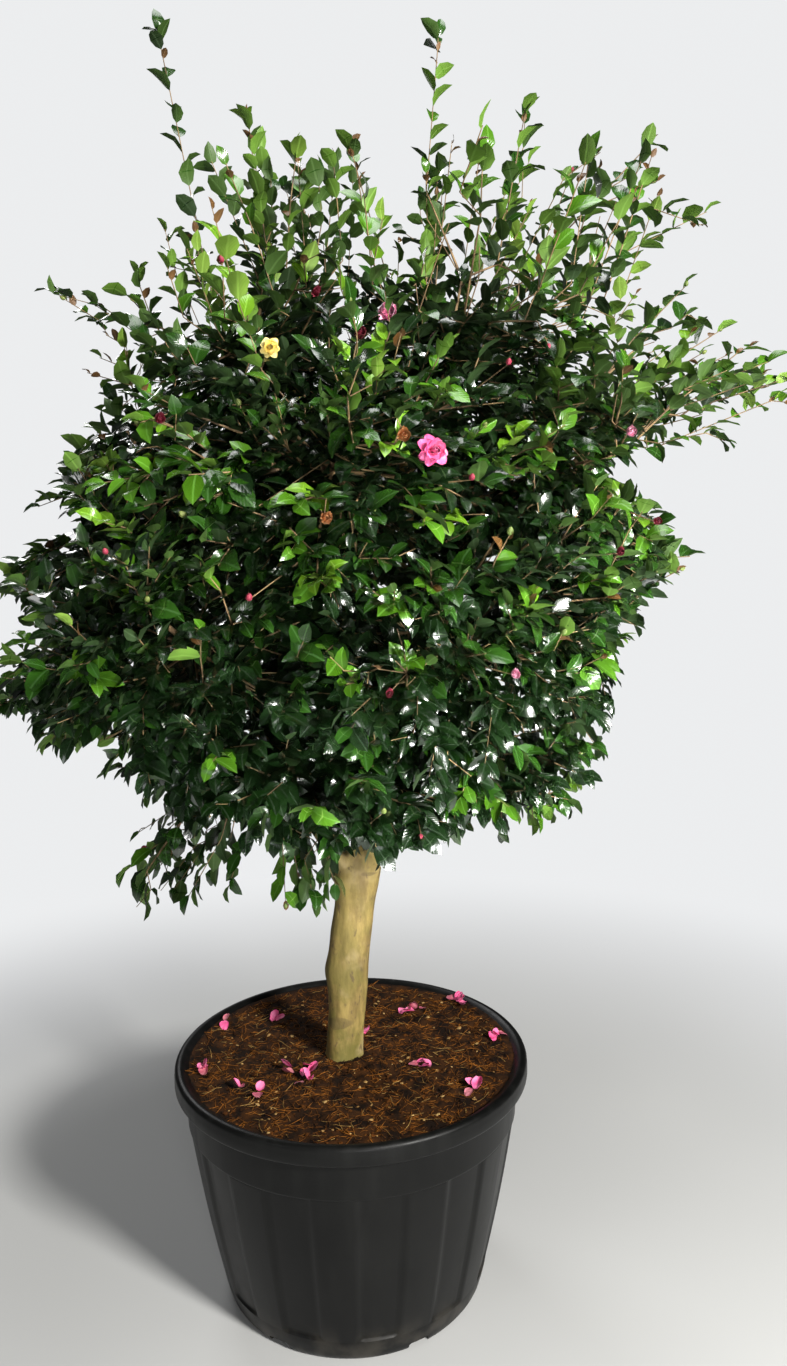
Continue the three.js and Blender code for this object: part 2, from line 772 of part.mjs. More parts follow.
const tree = new THREE.Group();

function addPiece(name, geometry, look) {
  const material = new THREE.MeshStandardMaterial({ color: look.color, roughness: look.roughness, metalness: 0 });
  const mesh = new THREE.Mesh(geometry, material);
  mesh.name = name;
  tree.add(mesh);
}

addPiece('pot', geometryOf(makePot()), LOOKS.pot);
addPiece('soil', geometryOf(makeSoil()), LOOKS.soil);
addPiece('trunk', trunkSkin(0), LOOKS.bark);

const trunkSpace = solidOf(trunkSkin(CLEAR));
const madeStems = [];
Object.entries(stems).forEach(([name, stem]) => {
  let solid = solidOf(tube(stem.points, stem.radii, STEM_SIDES)).subtract(trunkSpace);
  madeStems.forEach((other) => {
    solid = solid.subtract(swollen(other, CLEAR, STEM_SIDES));
  });
  madeStems.push(stem);
  addPiece(`stem_${name}`, geometryOf(mainBody(solid)), LOOKS.bark);
});

masses.forEach((mass) => {
  const { bough } = mass;
  let solid = solidOf(tube(bough.points, bough.radii, BOUGH.sides));
  Object.values(stems).forEach((stem) => {
    solid = solid.subtract(swollen(stem, CLEAR, STEM_SIDES));
  });
  addPiece(`bough_${mass.name}`, geometryOf(mainBody(solid)), LOOKS.bark);
});

masses.forEach((mass, order) => {
  addPiece(`foliage_${mass.name}`, geometryOf(makeFoliage(mass, order)), LOOKS.foliage);
});

export default tree;
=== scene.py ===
# %% [markdown]
# # A camellia grown as a small tree, in its nursery pot
#
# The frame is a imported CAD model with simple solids: a pot, its compost, a trunk, three stems,
# twenty boughs and twenty masses of foliage. This lesson dresses them. Each solid gives the size
# and the place, and each step below makes what the eye sees there: the moulded pot, the fibrous
# compost, bark with relief, fine twigs, some thirty-six thousand leaves, blooms and fallen petals.

# %% The frame and its size
import json
import math

import bpy
import numpy as np
from mathutils import Matrix, Vector, noise

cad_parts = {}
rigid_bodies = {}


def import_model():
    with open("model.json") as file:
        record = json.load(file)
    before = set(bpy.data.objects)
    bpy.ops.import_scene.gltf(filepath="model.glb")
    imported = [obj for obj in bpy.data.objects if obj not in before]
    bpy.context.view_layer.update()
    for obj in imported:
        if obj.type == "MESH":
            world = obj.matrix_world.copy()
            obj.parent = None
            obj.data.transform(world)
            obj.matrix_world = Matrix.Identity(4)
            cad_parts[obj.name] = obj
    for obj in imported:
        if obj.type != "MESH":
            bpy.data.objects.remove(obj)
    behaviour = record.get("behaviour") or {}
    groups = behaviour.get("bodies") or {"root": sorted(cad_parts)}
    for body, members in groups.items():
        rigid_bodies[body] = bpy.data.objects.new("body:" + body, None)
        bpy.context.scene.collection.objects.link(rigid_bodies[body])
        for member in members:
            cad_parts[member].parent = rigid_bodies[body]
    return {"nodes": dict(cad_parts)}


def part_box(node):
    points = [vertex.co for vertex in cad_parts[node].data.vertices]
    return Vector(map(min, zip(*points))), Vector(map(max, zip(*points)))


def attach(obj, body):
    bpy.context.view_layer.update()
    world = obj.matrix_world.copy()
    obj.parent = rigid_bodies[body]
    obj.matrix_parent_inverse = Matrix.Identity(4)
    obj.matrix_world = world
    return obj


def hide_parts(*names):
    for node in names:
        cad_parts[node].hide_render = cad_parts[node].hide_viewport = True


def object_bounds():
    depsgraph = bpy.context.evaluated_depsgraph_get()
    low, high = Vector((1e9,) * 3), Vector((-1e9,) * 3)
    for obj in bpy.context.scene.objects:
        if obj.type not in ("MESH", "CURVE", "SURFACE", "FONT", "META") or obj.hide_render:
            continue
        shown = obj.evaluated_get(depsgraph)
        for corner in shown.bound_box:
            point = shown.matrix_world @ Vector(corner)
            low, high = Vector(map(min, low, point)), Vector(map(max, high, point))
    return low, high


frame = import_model()
cad_box = [list(corner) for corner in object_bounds()]
nodes = sorted(frame["nodes"])
print("nodes in the frame:", len(nodes), "box:", cad_box)

# %% [markdown]
# ## Small tools
#
# The growth rule further down is the CAD source's own rule, written again, so it needs the same
# random numbers. A short generator of 32-bit numbers gives the same run in any language, which a
# library's own random function would not. Lengths in the rule are millimetres, as in the source,
# and a mesh is scaled to metres when it is made.

# %% Vectors and random numbers
MM = 0.001
GOLDEN_ANGLE = math.pi * (3 - math.sqrt(5))
UP = np.array([0.0, 0.0, 1.0])


def vec(*values):
    return np.array(values, float)


def unit(values):
    return values / np.maximum(np.linalg.norm(values, axis=-1, keepdims=True), 1e-12)


def across(direction):
    helper = UP if abs(direction[2]) < 0.9 else vec(1, 0, 0)
    return unit(np.cross(helper, direction))


def clamp(value, low=0, high=1):
    return min(max(value, low), high)


def loose(random):
    return vec(random() - 0.5, random() - 0.5, random() - 0.5)


def seeded(seed):
    state = seed

    def draw():
        nonlocal state
        state = (state + 0x6D2B79F5) & 0xFFFFFFFF
        mixed = (state ^ (state >> 15)) * (state | 1) & 0xFFFFFFFF
        second = (mixed ^ (mixed >> 7)) * (mixed | 61) & 0xFFFFFFFF
        mixed ^= (mixed + second) & 0xFFFFFFFF
        return ((mixed ^ (mixed >> 14)) & 0xFFFFFFFF) / 4294967296

    return draw


first_draws = [round(seeded(41)(), 6), round(seeded(97)(), 6)]
print("first draws:", first_draws)


# %% Meshes from arrays
def new_object(name, mesh):
    made = bpy.data.objects.new(name, mesh)
    bpy.context.scene.collection.objects.link(made)
    return made


def mesh_from(name, shape, scale=MM, smooth=True):
    """A mesh from a shape, which is a pair of points and faces."""
    points, faces = shape
    mesh = bpy.data.meshes.new(name)
    mesh.from_pydata((np.asarray(points, float) * scale).tolist(), [], [list(face) for face in faces])
    if smooth:
        mesh.shade_smooth()
    mesh.validate()
    return mesh


def object_from(name, *shape_and_ways):
    return new_object(name, mesh_from(name, *shape_and_ways))


def angles(count):
    return np.arange(count) * 2 * math.pi / count


def ring_at(angle, radius, height, x=0, flat=1):
    """A ring round an upright axis, flat times as deep as it is wide."""
    return np.stack([x + np.cos(angle) * radius, np.sin(angle) * radius * flat, angle * 0 + height], 1)


def ring_faces(rows, sides, closed=True, start=0):
    """Quads between rings of equally many points, as index rows."""
    across_ring = np.arange(sides if closed else sides - 1)
    row, side = np.meshgrid(np.arange(rows - 1), across_ring, indexing="ij")
    a = start + row * sides + side
    b = start + row * sides + (side + 1) % sides
    return np.stack([a, b, b + sides, a + sides], axis=-1).reshape(-1, 4).tolist()


def skin(rings, caps=True):
    """A closed skin over rings of points: the points and the faces."""
    rows, sides = rings.shape[:2]
    faces = ring_faces(rows, sides)
    if caps:
        faces.append(list(range(sides))[::-1])
        faces.append([(rows - 1) * sides + k for k in range(sides)])
    return rings.reshape(-1, 3), faces


def tube(points, radii, sides):
    """A tube of changing radius along points, its rings turned as little as they can be."""
    angle = angles(sides)
    last = len(points) - 1
    normal = None
    rings = []
    for i, point in enumerate(points):
        tangent = unit(points[min(i + 1, last)] - points[max(i - 1, 0)])
        normal = across(tangent) if normal is None else unit(normal - tangent * normal.dot(tangent))
        second = np.cross(tangent, normal)
        ring = np.outer(np.cos(angle), normal) + np.outer(np.sin(angle), second)
        rings.append(point + ring * radii[i])
    return skin(np.array(rings))


def merged(parts):
    """Several (points, faces) pairs as one."""
    points, faces, start = [], [], 0
    for part_points, part_faces in parts:
        points.append(part_points)
        faces.extend([[index + start for index in face] for face in part_faces])
        start += len(part_points)
    return np.concatenate(points), faces


def finished(holder, name):
    """What the holder's modifiers make of it, as a plain mesh object. The holder goes."""
    graph = bpy.context.evaluated_depsgraph_get()
    mesh = bpy.data.meshes.new_from_object(
        holder.evaluated_get(graph), preserve_all_data_layers=True, depsgraph=graph
    )
    bpy.data.objects.remove(holder)
    mesh.name = name
    return new_object(name, mesh)


def triangles(piece):
    return sum(len(face.vertices) - 2 for face in piece.data.polygons)


def joined(parts, name):
    """Several objects as one."""
    with bpy.context.temp_override(active_object=parts[0], selected_editable_objects=parts):
        bpy.ops.object.join()
    parts[0].name = name
    parts[0].data.name = name
    return parts[0]


PIECES = []


def keep(piece, replaced=()):
    """Hides the nodes that a piece stands for and lets it ride on the one body."""
    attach(piece, "root")
    if replaced:
        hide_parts(*replaced)
    PIECES.append(piece)
    print(f"{piece.name}: {triangles(piece)} triangles, stands for {len(replaced)} nodes")
    return piece


# %% [markdown]
# ## Writing node trees as sums
#
# A material is a tree of nodes, and so is a recipe of Geometry Nodes. Drawn by hand, each sum is a
# Math node, and a long recipe becomes hard to read. Here a small class wraps a socket, so that a
# line such as `1 - mask * 0.5` adds the nodes by itself. Any other node comes from one method,
# which takes the node's type, its settings and what its sockets hold.


# %% A socket that can stand in a sum
class Value:
    def __init__(self, nodes, socket):
        self.nodes = nodes
        self.socket = socket

    def math(self, operation, *others):
        settings = {"operation": operation}
        return self.nodes.node("ShaderNodeMath", settings, dict(enumerate([self, *others])))

    def __add__(self, other):
        return self.math("ADD", other)

    def __mul__(self, other):
        return self.math("MULTIPLY", other)

    def __sub__(self, other):
        return self.math("SUBTRACT", other)

    def __rsub__(self, other):
        return self * -1 + other

    def step(self, low, high):
        """0 below low and 1 above high, smoothly between."""
        inputs = {"Value": self, "From Min": low, "From Max": high}
        return self.nodes.node("ShaderNodeMapRange", {"interpolation_type": "SMOOTHSTEP"}, inputs)


# %% Trees of nodes under construction
class Nodes:
    def __init__(self, tree):
        self.tree = tree

    def feed(self, node, key, value):
        socket = node.inputs[key]
        if isinstance(value, Value):
            self.tree.links.new(value.socket, socket)
        elif isinstance(value, tuple) and len(value) == 3 and len(socket.default_value) == 4:
            socket.default_value = (*value, 1)
        else:
            socket.default_value = value

    def node(self, kind, settings=None, inputs=None, output=0):
        made = self.tree.nodes.new(kind)
        for key, value in (settings or {}).items():
            setattr(made, key, value)
        for key, value in (inputs or {}).items():
            self.feed(made, key, value)
        return Value(self, made.outputs[output])


class Finish(Nodes):
    """A material. Constants go to sockets of its shader."""

    def __init__(self, name, **constants):
        self.material = bpy.data.materials.new(name)
        self.material.use_nodes = True
        super().__init__(self.material.node_tree)
        self.shader = self.tree.nodes["Principled BSDF"]
        self.material.diffuse_color = (*constants.get("Base Color", (0.5, 0.5, 0.5))[:3], 1)
        self.set(**constants)

    def set(self, **values):
        for socket, value in values.items():
            self.feed(self.shader, socket.replace("_", " "), value)

    def place(self, stretch=(1, 1, 1), source="Object"):
        found = self.node("ShaderNodeTexCoord", output={"Object": 3, "UV": 2}[source])
        return self.node("ShaderNodeMapping", None, {"Vector": found, "Scale": stretch})

    def noise(self, scale, detail=3, stretch=(1, 1, 1), rough=0.55):
        inputs = {"Vector": self.place(stretch), "Scale": scale, "Detail": detail, "Roughness": rough}
        return self.node("ShaderNodeTexNoise", None, inputs)

    def blend(self, share, first, second):
        """Colour first where share is 0, second where it is 1."""
        return self.node("ShaderNodeMix", {"data_type": "RGBA"}, {0: share, 6: first, 7: second}, 2)

    def bump(self, height, strength, distance):
        inputs = {"Height": height, "Strength": strength, "Distance": distance}
        self.set(Normal=self.node("ShaderNodeBump", None, inputs))

    def axis(self, number, source="Object"):
        return self.node("ShaderNodeSeparateXYZ", None, {0: self.place(source=source)}, number)


class Growth(Nodes):
    """A Geometry Nodes tree. It takes a geometry and what else is named here."""

    def __init__(self, name, **sockets):
        super().__init__(bpy.data.node_groups.new(name, "GeometryNodeTree"))
        interface = self.tree.interface
        interface.new_socket("Geometry", in_out="OUTPUT", socket_type="NodeSocketGeometry")
        for label, kind in {"Geometry": "Geometry", **sockets}.items():
            interface.new_socket(label, in_out="INPUT", socket_type="NodeSocket" + kind)
        group = self.tree.nodes.new("NodeGroupInput")
        self.given = {socket.name: Value(self, socket) for socket in group.outputs}

    def attribute(self, name, kind):
        return self.node("GeometryNodeInputNamedAttribute", {"data_type": kind}, {"Name": name})

    def scattered(self, points, **ways):
        """The given shapes set on points, as real mesh."""
        inputs = {"Collection": self.given["Shapes"], "Separate Children": True, "Reset Children": True}
        shapes = self.node("GeometryNodeCollectionInfo", None, inputs)
        inputs = {"Points": points, "Instance": shapes, "Pick Instance": True}
        inputs.update((key.replace("_", " "), value) for key, value in ways.items())
        placed = self.node("GeometryNodeInstanceOnPoints", None, inputs)
        return self.node("GeometryNodeRealizeInstances", None, {"Geometry": placed})

    def painted(self, geometry, material, **chosen):
        inputs = {"Geometry": geometry, "Material": material, **chosen}
        return self.node("GeometryNodeSetMaterial", None, inputs)

    def ends_with(self, value):
        end = self.tree.nodes.new("NodeGroupOutput")
        self.feed(end, "Geometry", value)
        return self.tree


def apply_tree(holder, tree, **values):
    """Adds the tree as a modifier and sets its inputs by their identifiers."""
    modifier = holder.modifiers.new(tree.name, "NODES")
    modifier.node_group = tree
    for item in tree.interface.items_tree:
        if item.in_out == "INPUT" and item.name in values:
            modifier[item.identifier] = values[item.name]


print("a sum such as 1 - mask * 0.5 now adds its own nodes")

# %% [markdown]
# ## The camera
#
# The render is 787 by 1366 pixels. The lens is a wide one and stands close to the plant, so the
# crown looms over the pot. It is stated for the long side of the frame. The camera looks a little
# down and is turned by less than a degree about its own axis.

# %% Camera
FOCAL_PIXELS = 964.4
LONG_SIDE = 1366
PITCH = math.radians(6)
ROLL = math.radians(0.78)

forward = Vector((0, math.cos(PITCH), -math.sin(PITCH)))
level_up = Vector((0, math.sin(PITCH), math.cos(PITCH)))
level_right = Vector((1, 0, 0))
right = level_right * math.cos(ROLL) - level_up * math.sin(ROLL)
upward = level_right * math.sin(ROLL) + level_up * math.cos(ROLL)

camera_data = bpy.data.cameras.new("camera")
camera_data.sensor_width = 36
camera_data.lens = FOCAL_PIXELS / LONG_SIDE * 36
camera = bpy.data.objects.new("camera", camera_data)
bpy.context.scene.collection.objects.link(camera)
turned = Matrix((right, upward, -forward)).transposed().to_4x4()
camera.matrix_world = Matrix.Translation((0.091, -1.803, 1.354)) @ turned
bpy.context.scene.camera = camera
print("lens:", round(camera_data.lens, 2), "mm")

# %% [markdown]
# ## The crown's rule
#
# A camellia branches by splitting space: each bough feeds its own part of the crown, and each twig
# grows into room that its neighbours have left. The CAD source does this with sites. Every mass of
# foliage owns the points that lie nearest its own site, and the twigs of a mass join places on a
# seeded sphere by the shortest way back to its stem. The rule is repeated here with the same
# numbers, so the boughs and the first twigs fall where the solids have them.

# %% The crown's sizes
CROWN = vec(15, 0, 1370)
# height, how far left, how far right and how deep
OUTLINE = np.array([
    (770, -190, 70, 150), (880, -330, 370, 340), (1000, -530, 480, 490), (1110, -660, 520, 560),
    (1300, -660, 570, 620), (1400, -640, 660, 620), (1500, -570, 590, 600), (1640, -490, 620, 550),
    (1780, -400, 580, 470), (1880, -310, 500, 370), (1950, -60, 260, 150),
], float)
SPOKES = {
    "front": -97, "right": -25, "back_right": 47, "back_left": 119, "left": 191,
}
RINGS = {
    "low": (960, 330, 0.78, SPOKES),
    "middle": (
        1235, 400, 0.86,
        {
            "front_left": -125, "front_right": -65, "right": -5,
            "back_right": 55, "back_left": 115, "left": 175,
        },
    ),
    "upper": (
        1530, 370, 0.86,
        {"front": -92, "right": -20, "back_right": 52, "back_left": 124, "left": 196},
    ),
    "top": (
        1800, 230, 0.82,
        {"front_left": -135, "front_right": -45, "back_right": 45, "back_left": 135},
    ),
}
COLUMN = 125
CORE_MARGIN = 13
HEART_GRID = 45


def outline_at(z):
    return (np.interp(z, OUTLINE[:, 0], OUTLINE[:, c]) for c in (1, 2, 3))


def in_outline(points, scale=1.0):
    scaled = CROWN + (np.asarray(points) - CROWN) / scale
    z = scaled[..., 2]
    left, right_side, deep = outline_at(z)
    share = (2 * scaled[..., 0] - left - right_side) / (right_side - left)
    inside = share**2 + (scaled[..., 1] / deep) ** 2 < 1
    return inside & (z >= OUTLINE[0, 0]) & (z <= OUTLINE[-1, 0])


def furthest(direction, far, rounds, inside):
    """Where a line from the crown's middle leaves a space, by halving."""
    near = 0.0
    for _ in range(rounds):
        middle = (near + far) / 2
        if inside(CROWN + direction * middle):
            near = middle
        else:
            far = middle
    return near


def reach(direction):
    return furthest(direction, 1200.0, 14, in_outline)


masses = []
for ring, (height, radius, core, sides) in RINGS.items():
    for side, degrees in sides.items():
        angle = math.radians(degrees)
        site = vec(CROWN[0] + math.cos(angle) * radius, CROWN[1] + math.sin(angle) * radius, height)
        masses.append({"name": f"{ring}_{side}", "ring": ring, "core": core, "site": site})
SITES = np.array([mass["site"] for mass in masses])


def in_space(index, points, margin):
    away = np.delete(SITES, index, axis=0) - SITES[index]
    length = np.linalg.norm(away, axis=1)
    offsets = (np.asarray(points) - SITES[index]) @ (away / length[:, None]).T
    return np.all(offsets < length / 2 - margin, axis=-1)


def mass_at(point):
    return int(np.argmin(np.linalg.norm(SITES - point, axis=1)))


def in_core(index, points):
    from_middle = np.hypot(points[..., 0] - CROWN[0], points[..., 1] - CROWN[1])
    inside = in_outline(points, masses[index]["core"]) & in_space(index, points, CORE_MARGIN)
    return inside & (from_middle > COLUMN)


grid = np.arange(-700, 700, HEART_GRID)
room = np.stack(np.meshgrid(grid, grid, np.arange(770, 2000, HEART_GRID), indexing="ij"), -1)
room = room.reshape(-1, 3).astype(float)
for index, mass in enumerate(masses):
    mass["heart"] = room[in_core(index, room)].mean(axis=0)
print("masses:", len(masses), "first heart:", masses[0]["heart"].round(1))


# %% [markdown]
# ## Stems and boughs
#
# The trunk forks into three stems, and twenty boughs leave the stems, each from a bud place of its
# own. Their centre lines come from the same curves as the solids: a spline through a few points for
# a stem and a cubic curve for a bough, which leaves the stem steeply and bends out to its mass.


# %% Centre lines and radii of the limbs
def spline(points, steps):
    """Centripetal Catmull-Rom curve through points, at steps + 1 even parameters."""
    points = np.asarray(points, float)
    ends = [2 * points[0] - points[1], *points, 2 * points[-1] - points[-2]]
    found = []
    for step in range(steps + 1):
        place = (len(points) - 1) * step / steps
        piece = min(int(place), len(points) - 2)
        weight = place - piece
        p0, p1, p2, p3 = ends[piece : piece + 4]
        gaps = [max(float(np.sum((b - a) ** 2)) ** 0.25, 1e-4) for a, b in ((p0, p1), (p1, p2), (p2, p3))]
        t1 = ((p1 - p0) / gaps[0] - (p2 - p0) / (gaps[0] + gaps[1]) + (p2 - p1) / gaps[1]) * gaps[1]
        t2 = ((p2 - p1) / gaps[1] - (p3 - p1) / (gaps[1] + gaps[2]) + (p3 - p2) / gaps[2]) * gaps[1]
        found.append(
            p1 + t1 * weight + (-3 * p1 + 3 * p2 - 2 * t1 - t2) * weight**2
            + (2 * p1 - 2 * p2 + t1 + t2) * weight**3
        )
    return np.array(found)


def cubic(a, b, c, d, steps):
    t = np.linspace(0, 1, steps + 1)[:, None]
    return a * (1 - t) ** 3 + 3 * b * t * (1 - t) ** 2 + 3 * c * t**2 * (1 - t) + d * t**3


def tapered(points, root, tip):
    share = np.linspace(0, 1, len(points)) ** 0.8
    return {"points": points, "radii": root + (tip - root) * share}


TRUNK = np.array(
    [
        [420.3, -17, 43], [438, -16, 38.5], [480, -13, 36.5], [546, -8, 37], [600, -6, 39.5],
        [625, -4, 39], [687, 3, 39.5], [745, 12, 38.5], [785, 16, 43], [818, 22, 42],
        [843, 30, 34], [858, 36, 22],
    ],
    float,
)
STEM_STEPS = 14
STEMS = {
    "right": (18, 8, [(38, 0, 815), (82, -6, 895), (122, -24, 1040), (135, -30, 1300), (112, -18, 1590)]),
    "left": (17, 8, [(10, -4, 790), (-42, -14, 866), (-104, -26, 1010), (-120, -20, 1270), (-92, -6, 1570)]),
    "back": (16, 8, [(24, 8, 805), (26, 62, 885), (22, 120, 1030), (18, 132, 1290), (22, 104, 1580)]),
}
BOUGH_ROOT, BOUGH_TIP, BOUGH_BELOW, BOUGH_STEPS, FINE_STEPS = 10, 7.4, 215, 5, 18

stems = {name: tapered(spline(path, STEM_STEPS), root, tip) for name, (root, tip, path) in STEMS.items()}
trunk_line = {
    "points": np.stack([TRUNK[:, 1], TRUNK[:, 1] * 0, TRUNK[:, 0]], axis=1),
    "radii": TRUNK[:, 2] + 5,
}

bud_places = [
    (stem, stem["points"][i], i) for stem in stems.values() for i in range(3, STEM_STEPS)
]
for index, mass in enumerate(masses):
    wanted = mass["heart"] - UP * BOUGH_BELOW
    chosen = min(range(len(bud_places)), key=lambda k: np.linalg.norm(bud_places[k][1] - wanted))
    stem, start, i = bud_places.pop(chosen)
    inward = unit(start - mass["heart"])
    marching = 0.0
    while marching < 400 and in_core(index, mass["heart"] + inward * (marching + 6)):
        marching += 6
    end = mass["heart"] + inward * (max(marching, 12) + 16)
    span = np.linalg.norm(end - start)
    leave = unit(unit(end - start) * 0.8 + UP * 0.6)
    root = min(BOUGH_ROOT, stem["radii"][i] * 0.86)
    for key, steps in (("bough", BOUGH_STEPS), ("bough_fine", FINE_STEPS)):
        line = cubic(start, start + leave * span * 0.4, end + inward * span * 0.3, end, steps)
        mass[key] = tapered(line, root, BOUGH_TIP)

limbs = [trunk_line, *stems.values(), *[mass["bough"] for mass in masses]]
SEGMENT_START = np.concatenate([limb["points"][:-1] for limb in limbs])
SEGMENT_END = np.concatenate([limb["points"][1:] for limb in limbs])
SEGMENT_THICK = np.concatenate([np.maximum(limb["radii"][:-1], limb["radii"][1:]) for limb in limbs])
low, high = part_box("bough_low_front")
print("bough_low_front solid ends:", [round(v, 3) for v in (*low, *high)])
print("its line here:", (masses[0]["bough"]["points"][[0, -1]] * MM).round(3).tolist())


def clear_of_limbs(a, b, half_width):
    """True if the segment from a to b stays clear of every limb."""
    u = b - a
    v = SEGMENT_END - SEGMENT_START
    w = a - SEGMENT_START
    uu, vv, uv = u @ u, np.sum(v * v, 1), v @ u
    uw, vw = w @ u, np.sum(v * w, 1)
    spread = uu * vv - uv * uv
    s = np.clip(np.where(spread > 1e-9, (uv * vw - vv * uw) / np.maximum(spread, 1e-9), 0), 0, 1)
    t = np.clip((uv * s + vw) / vv, 0, 1)
    s = np.clip((uv * t - uw) / uu, 0, 1)
    gap = np.linalg.norm(a + s[:, None] * u - SEGMENT_START - t[:, None] * v, axis=1)
    return bool(np.all(gap > SEGMENT_THICK + half_width + 1))


# %% [markdown]
# ## Twigs
#
# The first twigs repeat the solids. Then the same rule goes on with many more places: an outer
# layer just under the crown's outline, layers behind it that close the view into the crown, young
# shoots that rise out of its top and single sprays that hang or arch out of its round. A place
# joins the twig point that is near it and has a short way back to the stem. Thickness follows the
# old pipe rule: a twig is as thick as all the twig ends that it feeds need it to be.
#
# From close by, the near side of a crown looms and looks wider than the plant is. So the fine
# places also keep to limits that are given as the camera sees them. A point's place in that view
# is worked out by moving it along its line of sight to the upright plane through the pot.

# %% The crown's limits in the camera's view
EYE = vec(91, -1803, 1354)
DEEPEST = 600
# height, how far left and how far right
VIEW_SIDES = np.array(
    [
        (742, -380, 60), (830, -390, 70), (870, -390, 230), (905, -390, 365), (940, -395, 415),
        (1000, -400, 470), (1040, -540, 490), (1075, -655, 505), (1145, -680, 525), (1210, -620, 495),
        (1245, -520, 510), (1280, -565, 535), (1345, -625, 575), (1380, -605, 615), (1400, -550, 610),
        (1430, -470, 585), (1480, -465, 540), (1510, -485, 460), (1543, -478, 455), (1576, -475, 475),
        (1608, -445, 550), (1641, -410, 585), (1673, -400, 580), (1705, -352, 535), (1768, -372, 495),
        (1800, -340, 490), (1863, -312, 530), (1894, -300, 520), (1925, -300, 505), (1956, -285, 525),
        (2050, -300, 600),
    ],
    float,
)
# x and the lowest point
VIEW_LOW = np.array(
    [
        (-700, 1125), (-600, 1105), (-560, 1088), (-525, 1055), (-470, 1092), (-420, 1100), (-388, 1062),
        (-370, 960), (-300, 900), (-200, 905), (-130, 900), (-60, 885), (0, 855), (55, 835), (100, 855),
        (170, 883), (300, 888), (370, 885), (437, 895), (470, 945), (504, 1050), (560, 1260), (700, 1366),
    ],
    float,
)
# x and the highest point
VIEW_TOP = np.array(
    [
        (-700, 1500), (-560, 1620), (-520, 1850), (-430, 1900), (-373, 1930), (-340, 1990), (-319, 2080),
        (-285, 2040), (-263, 2010), (-240, 2080), (-209, 2190), (-160, 2190), (-140, 2120), (-100, 2060),
        (-46, 2100), (8, 2170), (40, 2080), (62, 2040), (118, 1990), (150, 2010), (172, 2080),
        (226, 2140), (275, 2190), (310, 2140), (335, 2170), (370, 2030), (400, 2060), (440, 2090),
        (480, 2125), (520, 2080), (560, 2100), (605, 2090), (640, 2020), (680, 1900), (715, 1870),
        (770, 1760), (820, 1720),
    ],
    float,
)


def seen(points):
    """Where points stand for the camera, on the upright plane through the pot's centre."""
    points = np.asarray(points, float)
    scale = -EYE[1] / (points[..., 1] - EYE[1])
    return EYE[0] + (points[..., 0] - EYE[0]) * scale, EYE[2] + (points[..., 2] - EYE[2]) * scale


def view_sides(z):
    return (np.interp(z, VIEW_SIDES[:, 0], VIEW_SIDES[:, c]) for c in (1, 2))


def in_view(points):
    x, z = seen(points)
    left, right_side = view_sides(z)
    return (x > left) & (x < right_side) & (z > np.interp(x, VIEW_LOW[:, 0], VIEW_LOW[:, 1]))


def fine_reach(direction):
    """As reach, but also inside the limits of the view."""
    return furthest(direction, reach(direction), 12, in_view)


def room_along(start, way, most):
    """How far a shoot can go on before it leaves the view's limits."""
    steps = np.arange(10, most + 10, 10)
    x, z = seen(start + steps[:, None] * way)
    left, right_side = view_sides(z)
    fits = (x > left - 20) & (x < right_side + 20) & (z < np.interp(x, VIEW_TOP[:, 0], VIEW_TOP[:, 1]))
    fits &= np.abs(start[1] + steps * way[1]) < DEEPEST
    blocked = np.flatnonzero(~fits)
    return float(steps[blocked[0]]) if len(blocked) else float(most)


print("crown seen between", VIEW_SIDES[:, 1].min(), "and", VIEW_SIDES[:, 2].max(), "mm")

# %% The places that twigs grow towards
# the tips of the long shoots that the solids have
SHOOTS = [
    (-306, -40, 2341), (-170, 90, 2262), (-62, -90, 2127), (28, 60, 2201), (189, -20, 2340),
    (276, 130, 2207), (338, -70, 2197), (497, 50, 2165), (551, -130, 2111), (613, 60, 2118),
    (672, -40, 2024), (707, 90, 1869), (746, -90, 1781), (850, 10, 1697), (695, -120, 1613),
    (-392, 60, 1970), (-517, -50, 1899), (120, 300, 2120), (-180, 330, 2050), (330, 380, 1990),
    (-401, -90, 783),
]
# x, height and side of the first blooms
BLOOMS = [
    (148, 1531, -1), (86, 1740, -1), (-80, 1690, -1), (-180, 1180, -1), (330, 1290, 1),
    (-250, 1480, 1), (90, 1640, 1),
]
TIPS, TIP_DEPTH, TIP_WANDER, MIDDLE_SHARE = 116, 92, 22, 0.62
SHOOT_STEP, SHOOT_LEAF_LENGTH = 80, 84
PATH_WEIGHT, NEAREST, THICKEST = 0.35, 24, 7.2
STEM_START, CLEAR = 26, 0.3

# finer layers: how many twig ends, how deep under the outline, how far they wander, and a seed
LAYERS = [
    {"count": 2250, "depth": 40, "wander": 42, "seed": 141},
    {"count": 1300, "depth": 104, "wander": 38, "seed": 241},
    {"count": 760, "depth": 185, "wander": 46, "seed": 341},
    {"count": 470, "depth": 285, "wander": 56, "seed": 441},
    {"count": 220, "depth": 390, "wander": 60, "seed": 541},
]
YOUNG_SHOOTS, YOUNG_STEP = 430, 40
SIDE_SHOOT, TOP_SHOOT, SHORTEST_SHOOT = 90, 430, 35
# where the layers are thinned: from one height to another, from one x to another, and by what share
ALL = math.inf
THINNED = [
    (-ALL, 1200, 200, 400, 0.64), (-ALL, 1120, 60, ALL, 0.5), (-ALL, 1120, -ALL, 60, 0.3),
    (1760, ALL, -ALL, ALL, 0.42),
]
